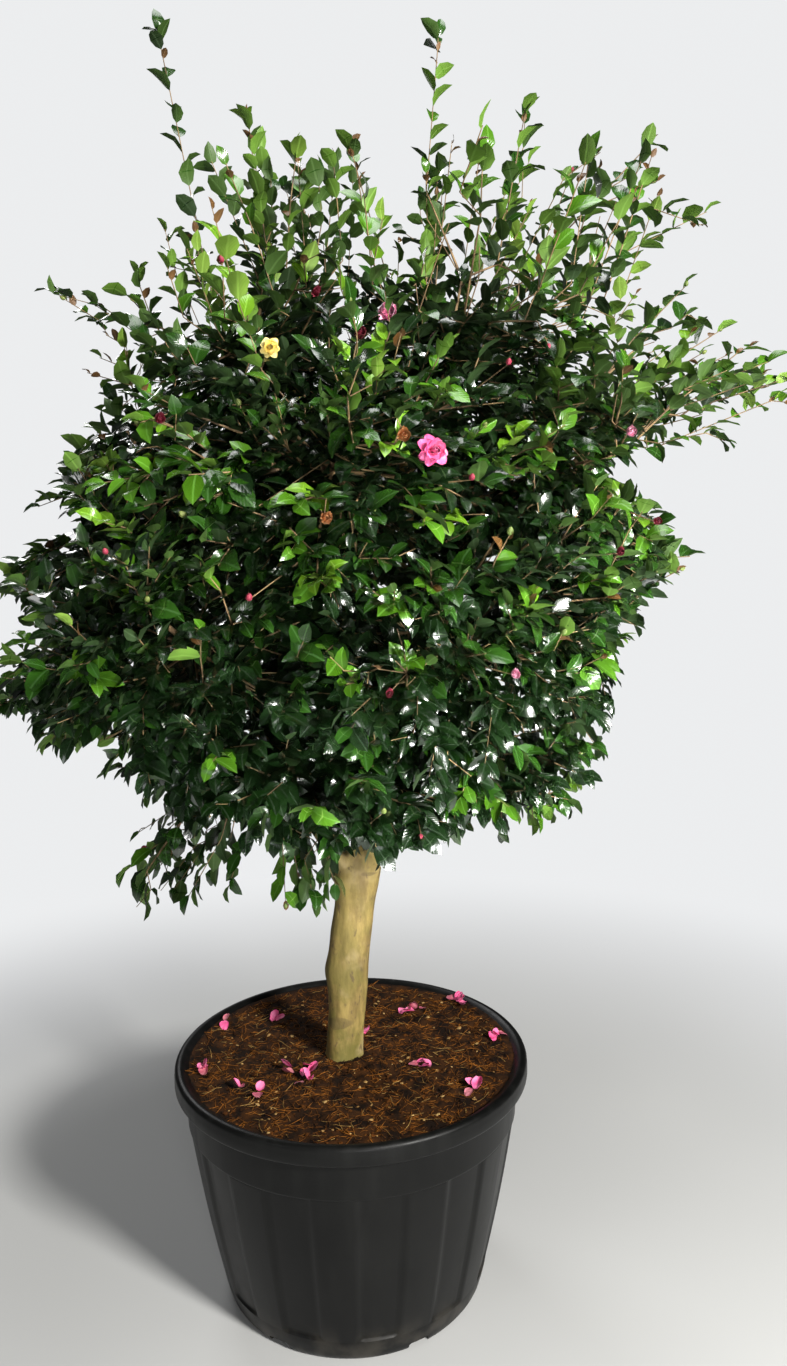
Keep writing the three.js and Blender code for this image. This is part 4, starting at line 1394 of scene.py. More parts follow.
def leaves_of(mass, order):
    """Rows of root, along, face, length, shape and tone for a mass."""
    random = seeded(3000 + order * 29)
    rows = []
    for knee in mass["knees"][3:]:
        if knee.kind not in LEAF_LENGTH:
            continue
        outward = unit(knee.point - CROWN)
        depth = depth_of(knee.point)
        tone = tone_of_spray(knee, depth, random)
        sag = clamp((SAG_BELOW - knee.point[2]) / FULL_SAG, -0.05, MOST_SAG)
        grown = knee.kind in ("tip", "bloom")
        light = outward * 0.75 + UP
        mean, spread_length = LEAF_LENGTH[knee.kind]
        if grown:
            number = OUTER_LEAVES if depth < OUTER_DEPTH else INNER_LEAVES
            stretch = number * LEAF_STEP["tip"]
        else:
            stretch = shoot_length(knee)
            number = max(4, int(stretch / LEAF_STEP[knee.kind]))
        for k in range(number):
            distance = FIRST_TIP * (k == 0) + (k > 0) * (k * stretch / number + (random() - 0.5) * 6)
            found = walk_back(knee, distance)
            if found is None:
                break
            root, ahead = found
            side = unit(np.cross(light, ahead) + vec(1e-6, 0, 0))
            lift = np.cross(ahead, side)
            hand = 1 if k % 2 else -1
            roll = (random() - 0.5) * (1.3 if grown else 2.6)
            sideways = side * hand * math.cos(roll) + lift * math.sin(roll)
            spread = 0.2 if k == 0 else 0.75 + 0.45 * random()
            jitter = loose(random)
            along = ahead * math.cos(spread) + sideways * math.sin(spread)
            along = unit(along - UP * sag * (0.55 + 0.5 * random()) + outward * 0.15 + jitter * 0.3)
            face = light + loose(random) * 1.5
            length = mean + (random() - 0.5) * 2 * spread_length + 5 * sag
            if k == 0:
                length *= 0.8
            own_tone = tone
            if k > number * 0.6 and tone > DARKEST:
                own_tone = tone - 1
            fast_tip = knee.kind == "shoot_end" and knee.point[2] > BRONZE_ABOVE
            young = tone in (FRESH, BRIGHT)
            if k < 2 and (young and random() < (OLD_BRONZE if grown else YOUNG_BRONZE) or fast_tip):
                own_tone = BRONZE
                length *= 0.5
            first_shape, shapes_to_use = OLD_BLADES if grown else YOUNG_BLADES
            shape = first_shape + int(random() * shapes_to_use)
            rows.append((root, along, face, length, shape, own_tone))
    return rows


def half_of(mass):
    """The ring's name with the side of the crown."""
    return mass["ring"] + ("_left" if mass["site"][0] < CROWN[0] - 40 else "_right")


LEAF_ROWS = {}
for order, mass in enumerate(masses):
    LEAF_ROWS.setdefault(half_of(mass), []).extend(leaves_of(mass, order))
print("leaves:", {half: len(rows) for half, rows in LEAF_ROWS.items()})


# %% Leaves, two pieces for each ring
def off_limbs(points, room_needed):
    """Which points stay clear of the trunk, stems and boughs."""
    clear = np.ones(len(points), bool)
    for a, b, thick in zip(SEGMENT_START, SEGMENT_END, SEGMENT_THICK):
        v = b - a
        t = np.clip((points - a) @ v / (v @ v), 0, 1)
        gap = np.linalg.norm(points - a - t[:, None] * v, axis=1)
        clear &= gap > thick + room_needed
    return clear


def inside_reach(points, along, length):
    """Keeps leaf tips inside the solids' reach."""
    tips = points + along * length[:, None]
    low_corner, high_corner = (np.array(corner) / MM for corner in cad_box)
    above, below = tips > low_corner - PAST_BOX, tips < high_corner + PAST_BOX
    return np.all(above & below, axis=1) & (tips[:, 2] > LOWEST_LEAF)


PAST_BOX, LOWEST_LEAF = 24, 742
LIMB_ROOM, FLOWER_ROOM, SIGHT_FREE, LIGHT_FREE = 6, 20, 420, 150
KEY_LIGHT = vec(2000, -2400, 2350)


def off_flowers(points, room_needed):
    """Which points leave the flowers free for the eye and for the light."""
    clear = np.ones(len(points), bool)
    for knee in flower_knees:
        for aim, distance in ((EYE, SIGHT_FREE), (KEY_LIGHT, LIGHT_FREE)):
            sight = unit(aim - knee.point)
            offset = points - knee.point
            ahead = np.clip(offset @ sight, 0, distance)
            clear &= np.linalg.norm(offset - ahead[:, None] * sight, axis=1) > room_needed
    return clear


every_knee = [knee for mass in masses for knee in mass["knees"]]
flower_knees = [knee for knee in every_knee if knee.kind.startswith("flower")]
print("flowers on twigs:", len(flower_knees), "of", len(FLOWERS))
for half, rows in LEAF_ROWS.items():
    columns = columns_of(rows)
    roots, along, _, length, _, _ = columns
    middles = roots + along * length[:, None] * 0.5
    clear = off_limbs(middles, LIMB_ROOM) & off_flowers(middles, FLOWER_ROOM)
    clear &= inside_reach(roots, along, length)
    picked = [values[clear] for values in columns]
    piece = scattered(f"leaves_{half}", LEAF_TREE, BLADES, picked)
    keep(piece, [f"foliage_{mass['name']}" for mass in masses if half_of(mass) == half])

# %% [markdown]
# ## The pot
#
# A container of this size is moulded from thick black polypropylene: a rolled lip to lift it by, a
# smooth band under the lip, and a body with twelve shallow recesses. Its shape is a lathe, but a
# plain Screw can't make the recesses. Here every ring is worked out from its height and angle, so
# the recess is a few millimetres taken off the radius with soft edges.

# %% Pot sizes
BASE_RADIUS, BAND_RADIUS, LIP_RADIUS, POT_HEIGHT = 250, 318, 340, 449
LIP_BOTTOM, BAND_BOTTOM, FLUTE_BOTTOM, FLUTE_DEPTH, FLUTE_START = 413, 342, 42, 4.5, 3
WALL, FLOOR = 7, 20
POT_SIDES = 360


def body_radius(z):
    share = z / BAND_BOTTOM
    return BASE_RADIUS + (BAND_RADIUS - 3 - BASE_RADIUS) * share + 4 * math.sin(math.pi * share)


def inner_radius(z):
    share = (z - FLOOR) / (POT_HEIGHT - FLOOR)
    return BASE_RADIUS - 3 + (LIP_RADIUS - 28 - BASE_RADIUS + 3) * share - WALL


def smooth(low, high, value):
    t = np.clip((value - low) / (high - low), 0, 1)
    return t * t * (3 - 2 * t)


def recess(angle):
    """1 in a recess and 0 on a raised panel."""
    turn = ((np.degrees(angle) + 90 - FLUTE_START) / 15) % 2
    return smooth(0, 0.12, turn) - smooth(1, 1.12, turn)


# rows of radius and height, from the middle of the underside round to the middle of the floor
profile = [(60, 0, 0), (200, 0, 0), (BASE_RADIUS - 7, 0, 0), (BASE_RADIUS - 4.5, 0.6, 0)]
profile += [(BASE_RADIUS - 3.2, 2.2, 0), (body_radius(8) - 1, 8, 0), (body_radius(14) - 0.6, 14, 0)]
profile += [(body_radius(24), 24, 0), (body_radius(FLUTE_BOTTOM - 2) + 0.3, FLUTE_BOTTOM - 2, 0)]
profile += [(body_radius(z), z, s) for z, s in ((42, 0), (43.5, 0.3), (45.5, 0.8), (47.5, 1))]
profile += [(body_radius(z), z, 1) for z in np.linspace(54, BAND_BOTTOM - 6, 14)]
profile += [(body_radius(BAND_BOTTOM - 2), BAND_BOTTOM - 2.5, 1), (BAND_RADIUS - 3.4, BAND_BOTTOM - 1, 0.6)]
profile += [(BAND_RADIUS - 2.2, BAND_BOTTOM, 0), (BAND_RADIUS - 1.2, BAND_BOTTOM + 1.6, 0)]
profile += [(BAND_RADIUS + 3.2 * s - 1, BAND_BOTTOM + 4 + 62 * s, 0) for s in np.linspace(0, 1, 7)]
profile += [(BAND_RADIUS + 4, LIP_BOTTOM - 2, 0), (BAND_RADIUS + 6, LIP_BOTTOM, 0)]
profile += [(LIP_RADIUS - 5, LIP_BOTTOM + 0.6, 0), (LIP_RADIUS - 2, LIP_BOTTOM + 1.8, 0)]
profile += [(LIP_RADIUS - 0.6, LIP_BOTTOM + 4, 0), (LIP_RADIUS, LIP_BOTTOM + 7, 0)]
profile += [(LIP_RADIUS, POT_HEIGHT - 16, 0), (LIP_RADIUS - 0.8, POT_HEIGHT - 11, 0)]
profile += [
    (LIP_RADIUS - 10 + 9.4 * math.cos(a), POT_HEIGHT - 9 + 9 * math.sin(a), 0)
    for a in np.radians([10, 28, 46, 64, 82, 100, 118, 136])
]
profile += [(LIP_RADIUS - 20, POT_HEIGHT - 4.5, 0), (LIP_RADIUS - 24, POT_HEIGHT - 10, 0)]
profile += [(inner_radius(z), z, 0) for z in (POT_HEIGHT - 18, 424, 405, 330, 180, 60, FLOOR)]
profile += [(120, FLOOR, 0), (30, FLOOR, 0)]

angle = angles(POT_SIDES)
flutes = recess(angle)
rings = [ring_at(angle, r - FLUTE_DEPTH * fluted * flutes, z) for r, z, fluted in profile]
pot_holder = object_from("pot_lathe", skin(np.array(rings)))
print("pot rows:", len(profile))

# %% Drain notches in the foot
NOTCH_COUNT, NOTCH_START, NOTCH_WIDTH, NOTCH_HEIGHT, NOTCH_DEPTH = 6, -31, 42, 14, 17
notch_parts = []
for i in range(NOTCH_COUNT):
    a = math.radians(NOTCH_START - 90) + i * 2 * math.pi / NOTCH_COUNT
    outward = vec(math.cos(a), math.sin(a), 0)
    sideways = vec(-math.sin(a), math.cos(a), 0)
    middle = outward * BASE_RADIUS
    corner_rings = []
    for depth in (-NOTCH_DEPTH, NOTCH_DEPTH):
        corners = [(-0.5, -1), (0.5, -1), (0.5, 0.8), (0.4, 1), (-0.4, 1), (-0.5, 0.8)]
        start = middle + outward * depth
        corner_rings.append([start + sideways * u * NOTCH_WIDTH + UP * v * NOTCH_HEIGHT for u, v in corners])
    notch_parts.append(skin(np.array(corner_rings)))
cutter = object_from("notch_cutter", merged(notch_parts), MM, False)
cut = pot_holder.modifiers.new("notches", "BOOLEAN")
cut.operation = "DIFFERENCE"
cut.solver = "EXACT"
cut.object = cutter
pot_piece = finished(pot_holder, "pot_shell")
bpy.data.objects.remove(cutter)
pot_piece.data.set_sharp_from_angle(angle=math.radians(38))
print("pot:", triangles(pot_piece), "triangles")

# %% [markdown]
# Nursery plastic is never clean: dust lies on it in soft clouds, it is scuffed along the lip, and
# water has left faint upright runs. The base is charcoal with a dull sheen. Dust changes the colour
# and the roughness together, which is what makes it read as dust and not as paint.

# %% Pot finish
plastic = Finish("nursery_plastic", **{"Specular IOR Level": 0.2})
clouds = plastic.noise(4.2, 5).step(0.35, 0.75)
runs = plastic.noise(7, 3, (5, 5, 0.35)).step(0.45, 0.72)
grain = plastic.noise(260, 2)
dust = (clouds * 0.55 + runs * 0.45) * 0.75
scuffs = plastic.noise(60, 3, (4, 4, 0.5)).step(0.68, 0.74) * plastic.axis(2).step(0.405, 0.415)
charcoal = plastic.blend(dust, (0.002, 0.0021, 0.002), (0.0095, 0.0097, 0.009))
marked = plastic.blend(scuffs * 0.8, charcoal, (0.004, 0.004, 0.004))
foot_dirt = (1 - plastic.axis(2).step(0.0, 0.09)) * plastic.noise(16, 4).step(0.4, 0.65)
plastic.set(Base_Color=plastic.blend(foot_dirt * 0.5, marked, (0.07, 0.062, 0.05)))
plastic.set(Roughness=dust * 0.22 + scuffs * 0.1 + 0.36)
plastic.bump(grain * 0.25 + plastic.noise(22, 2) * 0.8, 0.12, 0.002)
pot_piece.data.materials.clear()
pot_piece.data.materials.append(plastic.material)
keep(pot_piece, ["pot"])

# %% [markdown]
# ## The compost
#
# The mix is coir and composted bark: red brown, fibrous and loose. A bed with an uneven top carries
# it. On the bed a Geometry Nodes tree strews thousands of fibres, crumbs and chips, which give the
# rough edge that no bump map has when seen from the side.

# %% The bed
SOIL_LEVEL, SOIL_FLAT, FOOT_X = 437, 90, -17
EDGE_RADIUS, EDGE_RISE = 318, 8
BED_RINGS, BED_SIDES = 74, 200


def bed_height(x, y):
    away = np.hypot(x - FOOT_X, y)
    wave = np.sin(x / 47 + 1.3) * np.cos(y / 39 + 0.4) + 0.6 * np.sin((x + y) / 21)
    heaped = EDGE_RISE * smooth(240, EDGE_RADIUS - 6, np.hypot(x, y)) * smooth(-260, 200, y)
    plain = SOIL_LEVEL - 3 + wave * 3.5 * (1 - smooth(250, EDGE_RADIUS, np.hypot(x, y))) + heaped
    near_trunk = 1 - smooth(SOIL_FLAT - 20, SOIL_FLAT + 30, away)
    return plain * (1 - near_trunk) + SOIL_LEVEL * near_trunk


def rough_bed(x, y):
    fine = noise.fractal(Vector((x / 22, y / 22, 3)), 0.9, 2.0, 4)
    return 5.2 * fine + 1.8 * noise.noise(Vector((x / 4.5, y / 4.5, 9)))


angle = angles(BED_SIDES)
circle = ring_at(angle, 1, 0)
bed_rings = [circle * radius + UP * z for radius, z in ((238, 30), (286, 330), (298, 424))]
for share in np.linspace(1, 0.012, BED_RINGS):
    x, y = np.cos(angle) * EDGE_RADIUS * share, np.sin(angle) * EDGE_RADIUS * share
    rough = np.array([rough_bed(px, py) for px, py in zip(x, y)]) * (1 - 0.8 * smooth(0.93, 1.0, share))
    bed_rings.append(np.stack([x, y, bed_height(x, y) + rough], 1))
bed = object_from("compost_bed", skin(np.array(bed_rings)))
print("bed edge radius:", EDGE_RADIUS, "mm")


# %% Compost finish
def earth_finish(name, dark, light, rough=0.9):
    made = Finish(name, Roughness=rough, **{"Base Color": light, "Specular IOR Level": 0.15})
    made.set(Base_Color=made.blend(made.noise(30, 4).step(0.35, 0.65), dark, light))
    made.bump(made.noise(220, 3), 0.6, 0.003)
    return made.material


bed.data.materials.append(earth_finish("compost", (0.007, 0.0028, 0.0008), (0.045, 0.016, 0.003)))
keep(bed, ["soil"])


# %% Fibres, crumbs and chips
def fibre(name, seed, length, thick):
    random = seeded(seed)
    points = [vec(0, 0, 0)]
    heading = vec(1, 0, 0.1)
    for _ in range(4):
        heading = unit(heading + vec(0, random() - 0.5, (random() - 0.5) * 0.5))
        points.append(points[-1] + heading * length / 4)
    points = np.array(points) - points[2]
    return mesh_from(name, tube(points, thick * np.array([0.6, 1, 1, 0.9, 0.5]), 3))


def crumb(name, seed, size, flat):
    random = seeded(seed)
    angle = angles(5)
    rings = []
    for level, r in ((-0.45, 0.55), (0.0, 1.0), (0.5, 0.5)):
        wobble = np.array([0.7 + 0.6 * random() for _ in range(5)])
        rings.append(ring_at(angle, r * wobble, level * flat, 0, 0.7) * size)
    return mesh_from(name, skin(np.array(rings)), MM, False)


FIBRES = shapes_collection("fibres", [fibre(f"fibre_{k}", 60 + k, 16 + 6 * k, 0.55) for k in range(4)])
crumbs = [crumb(f"crumb_{k}", 80 + k, 2.4 + k, 1.0 - 0.2 * k) for k in range(4)]
CRUMBS = shapes_collection("crumbs", crumbs)


def litter_tree():
    numbers = {"Density": "Float", "Smallest": "Float", "Lift": "Float", "Seed": "Int"}
    tree = Growth("litter_on_bed", Shapes="Collection", Finish="Material", **numbers)
    given = tree.given
    seed = {"Seed": given["Seed"]}
    inputs = {"Mesh": given["Geometry"], "Density": given["Density"], **seed}
    points = tree.node("GeometryNodeDistributePointsOnFaces", None, inputs)
    raised = tree.node("ShaderNodeCombineXYZ", None, {"Z": given["Lift"]})
    lifted = tree.node("GeometryNodeSetPosition", None, {"Geometry": points, "Offset": raised})
    inputs = {0: (-0.35, -0.35, 0.0), 1: (0.35, 0.35, 6.283), **seed}
    turn = tree.node("FunctionNodeRandomValue", {"data_type": "FLOAT_VECTOR"}, inputs)
    inputs = {2: given["Smallest"], 3: 1.3, **seed}
    size = tree.node("FunctionNodeRandomValue", {"data_type": "FLOAT"}, inputs, 1)
    real = tree.scattered(lifted, Rotation=turn, Scale=size)
    return tree.ends_with(tree.painted(real, given["Finish"]))


LITTER_TREE = litter_tree()
disc = [ring for ring in bed_rings[3:] if np.hypot(ring[0, 0], ring[0, 1]) < EDGE_RADIUS - 10]
disc_shape = (np.array(disc).reshape(-1, 3), ring_faces(len(disc), BED_SIDES))
# shapes, how many on a square metre, the smallest size, lift, seed, and what the finish needs
LITTER = [
    (FIBRES, 7200, 0.5, 0.0012, 11, "coir", (0.05, 0.017, 0.003), (0.3, 0.105, 0.013), 0.8),
    (CRUMBS, 4600, 0.35, 0.0005, 23, "bark_crumbs", (0.008, 0.003, 0.001), (0.1, 0.032, 0.004)),
    (FIBRES, 1100, 0.3, 0.0015, 37, "pale_fibre", (0.2, 0.11, 0.03), (0.42, 0.26, 0.08), 0.7),
    (CRUMBS, 420, 0.3, 0.001, 51, "pale_chips", (0.24, 0.13, 0.04), (0.45, 0.29, 0.11), 0.7),
]
litter_parts = []
for k, (shapes, density, smallest, lift, seed, *earth) in enumerate(LITTER):
    holder = object_from("litter_bed", disc_shape)
    numbers = {"Density": float(density), "Smallest": smallest, "Lift": lift, "Seed": seed}
    apply_tree(holder, LITTER_TREE, Shapes=shapes, Finish=earth_finish(*earth), **numbers)
    litter_parts.append(finished(holder, f"litter_{k}"))
    print("litter", k, triangles(litter_parts[-1]), "triangles")
keep(joined(litter_parts, "compost_litter"))

# %% [markdown]
# ## Blooms, buds and fallen petals
#
# Autumn camellias drop their petals one by one. A petal is a cupped sheet, rounded, with a notch at
# the end. An open bloom is four whorls of them round a tuft of stamens. The same scatter tree that
# set the leaves sets the petals: the points of a bloom are worked out here.


# %% Petal, stamen and bud shapes
def petal(name, cup, curl, ruffle, rows=7, columns=6, width=0.84):
    """A unit petal along +X, its inner side to +Z, as a thin closed shell."""
    s = np.linspace(0, 1, rows)[:, None]
    t = np.linspace(-1, 1, columns)[None, :]
    half = width / 2 * np.sin(np.pi * np.clip(0.12 + 0.74 * s, 0, 1)) ** 0.9
    x = s - 0.07 * (1 - t**2) * (s > 0.95) - 0.16 * s * t**2
    y = half * t
    z = cup * (y**2) * 1.6 + curl * s**2 + ruffle * np.sin(5.2 * t + 3 * s) * s
    top = np.stack([x, y, z], -1).reshape(-1, 3)
    bottom = top - UP * 0.016
    faces = ring_faces(rows, columns, closed=False)
    offset = rows * columns
    under = [face[::-1] for face in ring_faces(rows, columns, closed=False, start=offset)]
    rim = list(range(columns)) + [columns * (k + 1) - 1 for k in range(1, rows)]
    rim += [columns * (rows - 1) + k for k in range(columns - 2, -1, -1)]
    rim += [columns * k for k in range(rows - 2, 0, -1)]
    walls = [[b, a, a + offset, b + offset] for a, b in zip(rim, rim[1:] + rim[:1])]
    skins = [face[::-1] for face in faces + under]
    return mesh_from(name, (np.concatenate([top, bottom]), skins + walls), 1)


def stamen(name):
    stalk = tube(np.array([(0, 0, 0), (0.5, 0.02, 0.05), (0.9, 0.0, 0.16)]), [0.018, 0.016, 0.014], 3)
    knob = tube(np.array([(0.88, 0, 0.15), (0.95, 0, 0.17), (1.0, 0, 0.19)]), [0.03, 0.06, 0.02], 5)
    return mesh_from(name, merged([stalk, knob]), 1)


def bud(name):
    rows = np.array([(0, 0.12), (0.1, 0.26), (0.3, 0.37), (0.55, 0.36), (0.8, 0.22), (0.97, 0.06)])
    points = np.stack([rows[:, 0], rows[:, 0] * 0, rows[:, 0] * 0], 1)
    return mesh_from(name, tube(points, rows[:, 1], 8), 1)


FLOWER_PARTS = shapes_collection(
    "flower_parts",
    [
        petal("part_0_cupped", 0.9, 0.5, 0.03),
        petal("part_1_open", 0.5, 0.1, 0.05),
        petal("part_2_back", 0.3, -0.35, 0.06),
        petal("part_3_crumpled", 0.8, 0.25, 0.14),
        stamen("part_4_stamen"),
        bud("part_5_bud"),
    ],
)


# %% Blossom finishes
def petal_finish(name, inner, outer, rough=0.55):
    made = Finish(name, **{"Base Color": outer})
    made.set(Base_Color=made.blend(made.noise(55, 3).step(0.35, 0.7), inner, outer))
    made.set(Roughness=made.noise(90, 2) * 0.15 + rough)
    made.bump(made.noise(150, 2), 0.2, 0.0015)
    return made.material


BLOSSOM_FINISHES = [
    petal_finish("petal_pink", (0.72, 0.07, 0.24), (0.84, 0.22, 0.42)),
    petal_finish("petal_cream", (0.9, 0.66, 0.12), (0.94, 0.8, 0.34)),
    petal_finish("petal_faded", (0.45, 0.17, 0.05), (0.6, 0.3, 0.12)),
    petal_finish("stamen_yellow", (0.8, 0.5, 0.06), (0.85, 0.62, 0.15)),
    petal_finish("bud_green", (0.1, 0.15, 0.03), (0.2, 0.24, 0.06)),
    petal_finish("petal_deep", (0.2, 0.012, 0.03), (0.34, 0.035, 0.07)),
    petal_finish("petal_pale", (0.86, 0.3, 0.5), (0.9, 0.55, 0.66)),
    petal_finish("petal_dull", (0.4, 0.07, 0.12), (0.6, 0.2, 0.24)),
]
doubled = [material for material in BLOSSOM_FINISHES for _ in (0, 1)]
FLOWER_TREE = scatter_tree("petals_on_points", doubled)
PINK, CREAM, FADED, STAMEN, BUD, DEEP, PALE, DULL = range(8)


# %% One bloom as rows of petals
# in each ring: how many petals, how long, how steep, and their shapes in turn
OPEN_BLOOM = {
    "rings": [(7, 0.5, 0.25, [2]), (7, 0.47, 0.62, [1]), (6, 0.38, 0.98, [0]), (5, 0.27, 1.25, [0])],
    "turn": 0.4, "tilt": 0.25, "least": 0.9, "more": 0.25, "apart": 1, "stamens": 14,
}
HALF_BLOOM = {
    "rings": [(5, 0.78, 0.75, [0, 3]), (5, 0.7, 1.1, [0, 3]), (3, 0.5, 1.3, [0, 3])],
    "turn": 0.5, "tilt": 0.4, "least": 0.85, "more": 0.3, "apart": 0, "stamens": 0,
}


def bloom_rows(middle, facing, width, tone, seed, plan):
    random = seeded(seed)
    first = across(facing)
    second = np.cross(facing, first)
    rows = []
    for w, (count, size, rise, shapes) in enumerate(plan["rings"]):
        for k in range(count):
            a = (k + 0.5 * w + (random() - 0.5) * plan["turn"]) * 2 * math.pi / count
            out = first * math.cos(a) + second * math.sin(a)
            tilt = rise + (random() - 0.5) * plan["tilt"]
            along = out * math.cos(tilt) + facing * math.sin(tilt)
            inner = facing * math.cos(tilt) - out * math.sin(tilt)
            root = middle + (out * width * 0.03 + facing * width * 0.02 * w) * plan["apart"]
            length = width * size * (plan["least"] + plan["more"] * random())
            rows.append((root, along, inner, length, shapes[k % len(shapes)], tone))
    for k in range(plan["stamens"]):
        a = k * GOLDEN_ANGLE
        out = first * math.cos(a) + second * math.sin(a)
        along = unit(facing + out * (0.15 + 0.4 * random()))
        rows.append((middle + facing * width * 0.02, along, out, width * 0.2, 4, STAMEN))
    return rows


def bud_row(point, along, size, tone):
    return (point, along, across(along), size, 5, tone)


back_knees = [knee for knee in every_knee if knee.kind == "bloom" and knee.point[1] > 0]
print("blooms of the far side:", [knee.point.round().tolist() for knee in back_knees])

# %% Blooms and buds on the crown
OPEN_TONES = {"open": PINK, "cream": CREAM}
HALF_TONES = {"half": PALE, "faded": FADED, "dark": DEEP}
BUDS = 60
flower_rows = []
for knee in flower_knees:
    number = int(knee.kind.split()[1])
    width, looks = FLOWERS[number][2:]
    facing = unit(unit(KEY_LIGHT - knee.point) * 0.5 + unit(EYE - knee.point))
    middle = knee.point + facing * width * 0.2
    if looks == "bud":
        flower_rows.append(bud_row(middle, unit(facing + UP * 0.8), width, DEEP))
        continue
    plan = OPEN_BLOOM if looks in OPEN_TONES else HALF_BLOOM
    tone = {**OPEN_TONES, **HALF_TONES}[looks]
    flower_rows.extend(bloom_rows(middle, facing, width, tone, 700 + number, plan))
for k, knee in enumerate(back_knees):
    facing = unit(unit(knee.point - CROWN) * 0.6 + vec(0, 0.8, 0.1))
    flower_rows.extend(bloom_rows(knee.point + facing * 14, facing, 42, PINK, 750 + k, OPEN_BLOOM))

random = seeded(811)
outer_tips = [
    knee for knee in every_knee
    if knee.kind in ("tip", "young_end") and not knee.children and depth_of(knee.point) < 70
]
for _ in range(BUDS):
    knee = outer_tips[int(random() * len(outer_tips))]
    ahead = unit(knee.point - knee.parent.point)
    tone = DEEP if random() < 0.12 else BUD
    along = unit(ahead + loose(random) * 0.8)
    flower_rows.append(bud_row(knee.point, along, 9 + 4 * random(), tone))


# %% Fallen petals on the compost
PETALS_WITHIN = 300
# where a bloom fell, and how many petals lie there
FALLEN = [
    (251, 245, 9), (298, 71, 4), (141, -49, 5), (229, -141, 3), (-101, -68, 5), (-78, -119, 3),
    (-193, -150, 4), (-276, -75, 3), (-186, 148, 2), (-295, 142, 2), (37, 75, 2), (95, 191, 2),
    (136, 185, 3),
]
for k, (x, y, count) in enumerate(FALLEN):
    for j in range(count):
        a = random() * 2 * math.pi
        away = 6 + 20 * random() * min(1, count / 4)
        px, py = x * 0.97 + math.cos(a) * away, y * 0.97 + math.sin(a) * away
        pull = min(1, PETALS_WITHIN / math.hypot(px, py))
        px, py = px * pull, py * pull
        z = float(bed_height(np.array(px), np.array(py))) + 6 + 3 * random()
        turn = random() * 2 * math.pi
        along = vec(math.cos(turn), math.sin(turn), (random() - 0.35) * 0.7)
        face = vec((random() - 0.5) * 0.9, (random() - 0.5) * 0.9, 1)
        tone = DULL if random() < 0.3 else PINK
        flower_rows.append((vec(px, py, z), along, face, 17 + 9 * random(), int(random() * 4), tone))


for name, lies in (("blossom", False), ("fallen_petals", True)):
    rows = columns_of([row for row in flower_rows if (row[0][2] <= 600) == lies])
    keep(scattered(name, FLOWER_TREE, FLOWER_PARTS, rows))

# %% [markdown]
# ## Floor and light
#
# The studio is plain: a pale floor that has no visible end, a strong light from the upper right, a
# wide soft one overhead and weaker ones to open the shadows. Far away the floor takes the colour of
# the backdrop, so no horizon shows from any side. The backdrop looks bright but sheds little light,
# which keeps the inside of the crown dark, as it is in a leafy shrub.

# %% Floor
BACKDROP = (0.84, 0.85, 0.86)
PLAIN_FROM, PLAIN_TO = 0.8, 2.6
FLOOR_SIDES, FLOOR_RINGS = 96, (24, 12, 6, 3, 1, 0.1)
floor_rings = np.array([ring_at(angles(FLOOR_SIDES), r, 0) for r in FLOOR_RINGS])
floor_points, floor_faces = skin(floor_rings, caps=False)
floor_faces.append([(len(FLOOR_RINGS) - 1) * FLOOR_SIDES + k for k in range(FLOOR_SIDES)])
studio = object_from("studio_floor", (floor_points, floor_faces), 1)
paper = Finish("studio_paper", Roughness=0.7, **{"Base Color": (0.52, 0.525, 0.52)})
soft_patches = paper.noise(0.7, 2).step(0.3, 0.7)
paper.set(Base_Color=paper.blend(soft_patches, (0.5, 0.505, 0.5), (0.55, 0.555, 0.55)))
squares = [paper.axis(number).math("POWER", 2.0) for number in (0, 1)]
far_share = (squares[0] + squares[1]).math("SQRT").step(PLAIN_FROM, PLAIN_TO)
to_camera = paper.node("ShaderNodeLightPath")
plain = paper.node("ShaderNodeEmission", None, {"Color": BACKDROP, "Strength": 1.0})
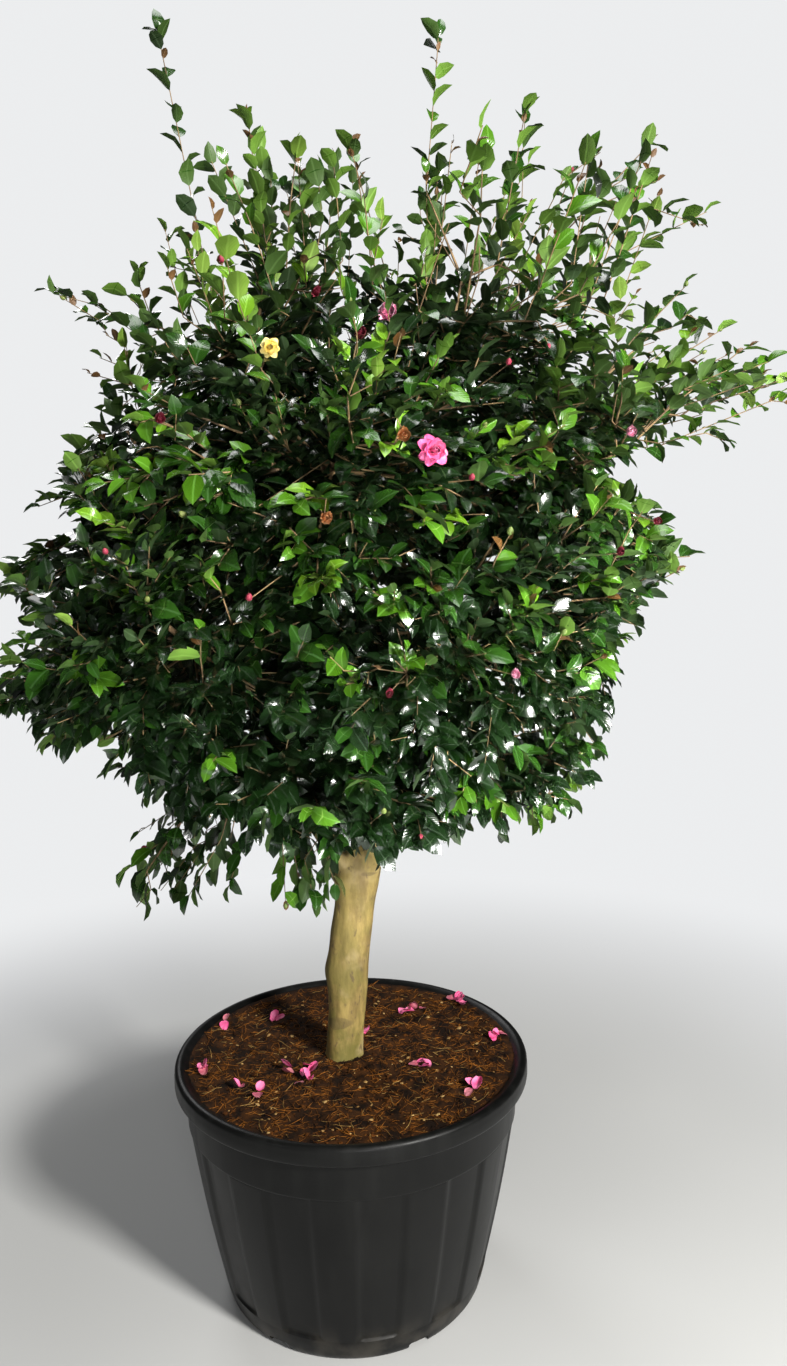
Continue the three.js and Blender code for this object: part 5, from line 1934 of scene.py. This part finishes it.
shown = paper.node("ShaderNodeMixShader", None, {0: far_share * to_camera, 2: plain})
paper.tree.links.new(paper.shader.outputs[0], shown.socket.node.inputs[1])
paper.tree.links.new(shown.socket, paper.tree.nodes["Material Output"].inputs[0])
studio.data.materials.append(paper.material)
studio.location.z = -0.0005


# %% Lights
def area_light(name, place, target, width, height, power, colour=(1, 1, 1), spread=180):
    data = bpy.data.lights.new(name, "AREA")
    data.shape = "RECTANGLE"
    data.spread = math.radians(spread)
    data.size, data.size_y, data.energy, data.color = width, height, power, colour
    lamp = bpy.data.objects.new(name, data)
    bpy.context.scene.collection.objects.link(lamp)
    lamp.location = place
    lamp.rotation_euler = (Vector(place) - Vector(target)).to_track_quat("Z", "Y").to_euler()


area_light("key", tuple(KEY_LIGHT * MM), (0, 0, 1.2), 0.5, 0.5, 216, (1, 0.98, 0.94))
area_light("top", (0.5, -0.6, 4.4), (0, 0, 1), 1.8, 1.8, 58)
area_light("fill", (-2.4, -2.6, 1.9), (0, 0, 1.2), 0.8, 0.8, 7, (0.95, 0.98, 1))
area_light("front", (0.7, -3.2, 0.85), (0, 0, 1.0), 0.6, 0.4, 30)
area_light("low", (0.9, -2.1, 0.3), (0.25, 0, 1.3), 1.0, 0.4, 5.5, spread=32)
area_light("back", (-1.4, 2.6, 3.0), (0, 0, 1.4), 1.4, 1.4, 40)
world = bpy.data.worlds.new("studio")
world.use_nodes = True
AMBIENT = 0.048
surround = world.node_tree.nodes["Background"]
surround.inputs[0].default_value = (*BACKDROP, 1)
path = world.node_tree.nodes.new("ShaderNodeLightPath")
strength = world.node_tree.nodes.new("ShaderNodeMapRange")
strength.inputs["To Min"].default_value = AMBIENT
world.node_tree.links.new(path.outputs["Is Camera Ray"], strength.inputs["Value"])
world.node_tree.links.new(strength.outputs[0], surround.inputs[1])
bpy.context.scene.world = world
bpy.context.scene.view_settings.view_transform = "Standard"
print("lights:", [light.name for light in bpy.data.lights])

# %% Sizes and the finished scene
total = sum(triangles(piece) for piece in PIECES)
print("pieces:", len(PIECES), "triangles:", total)
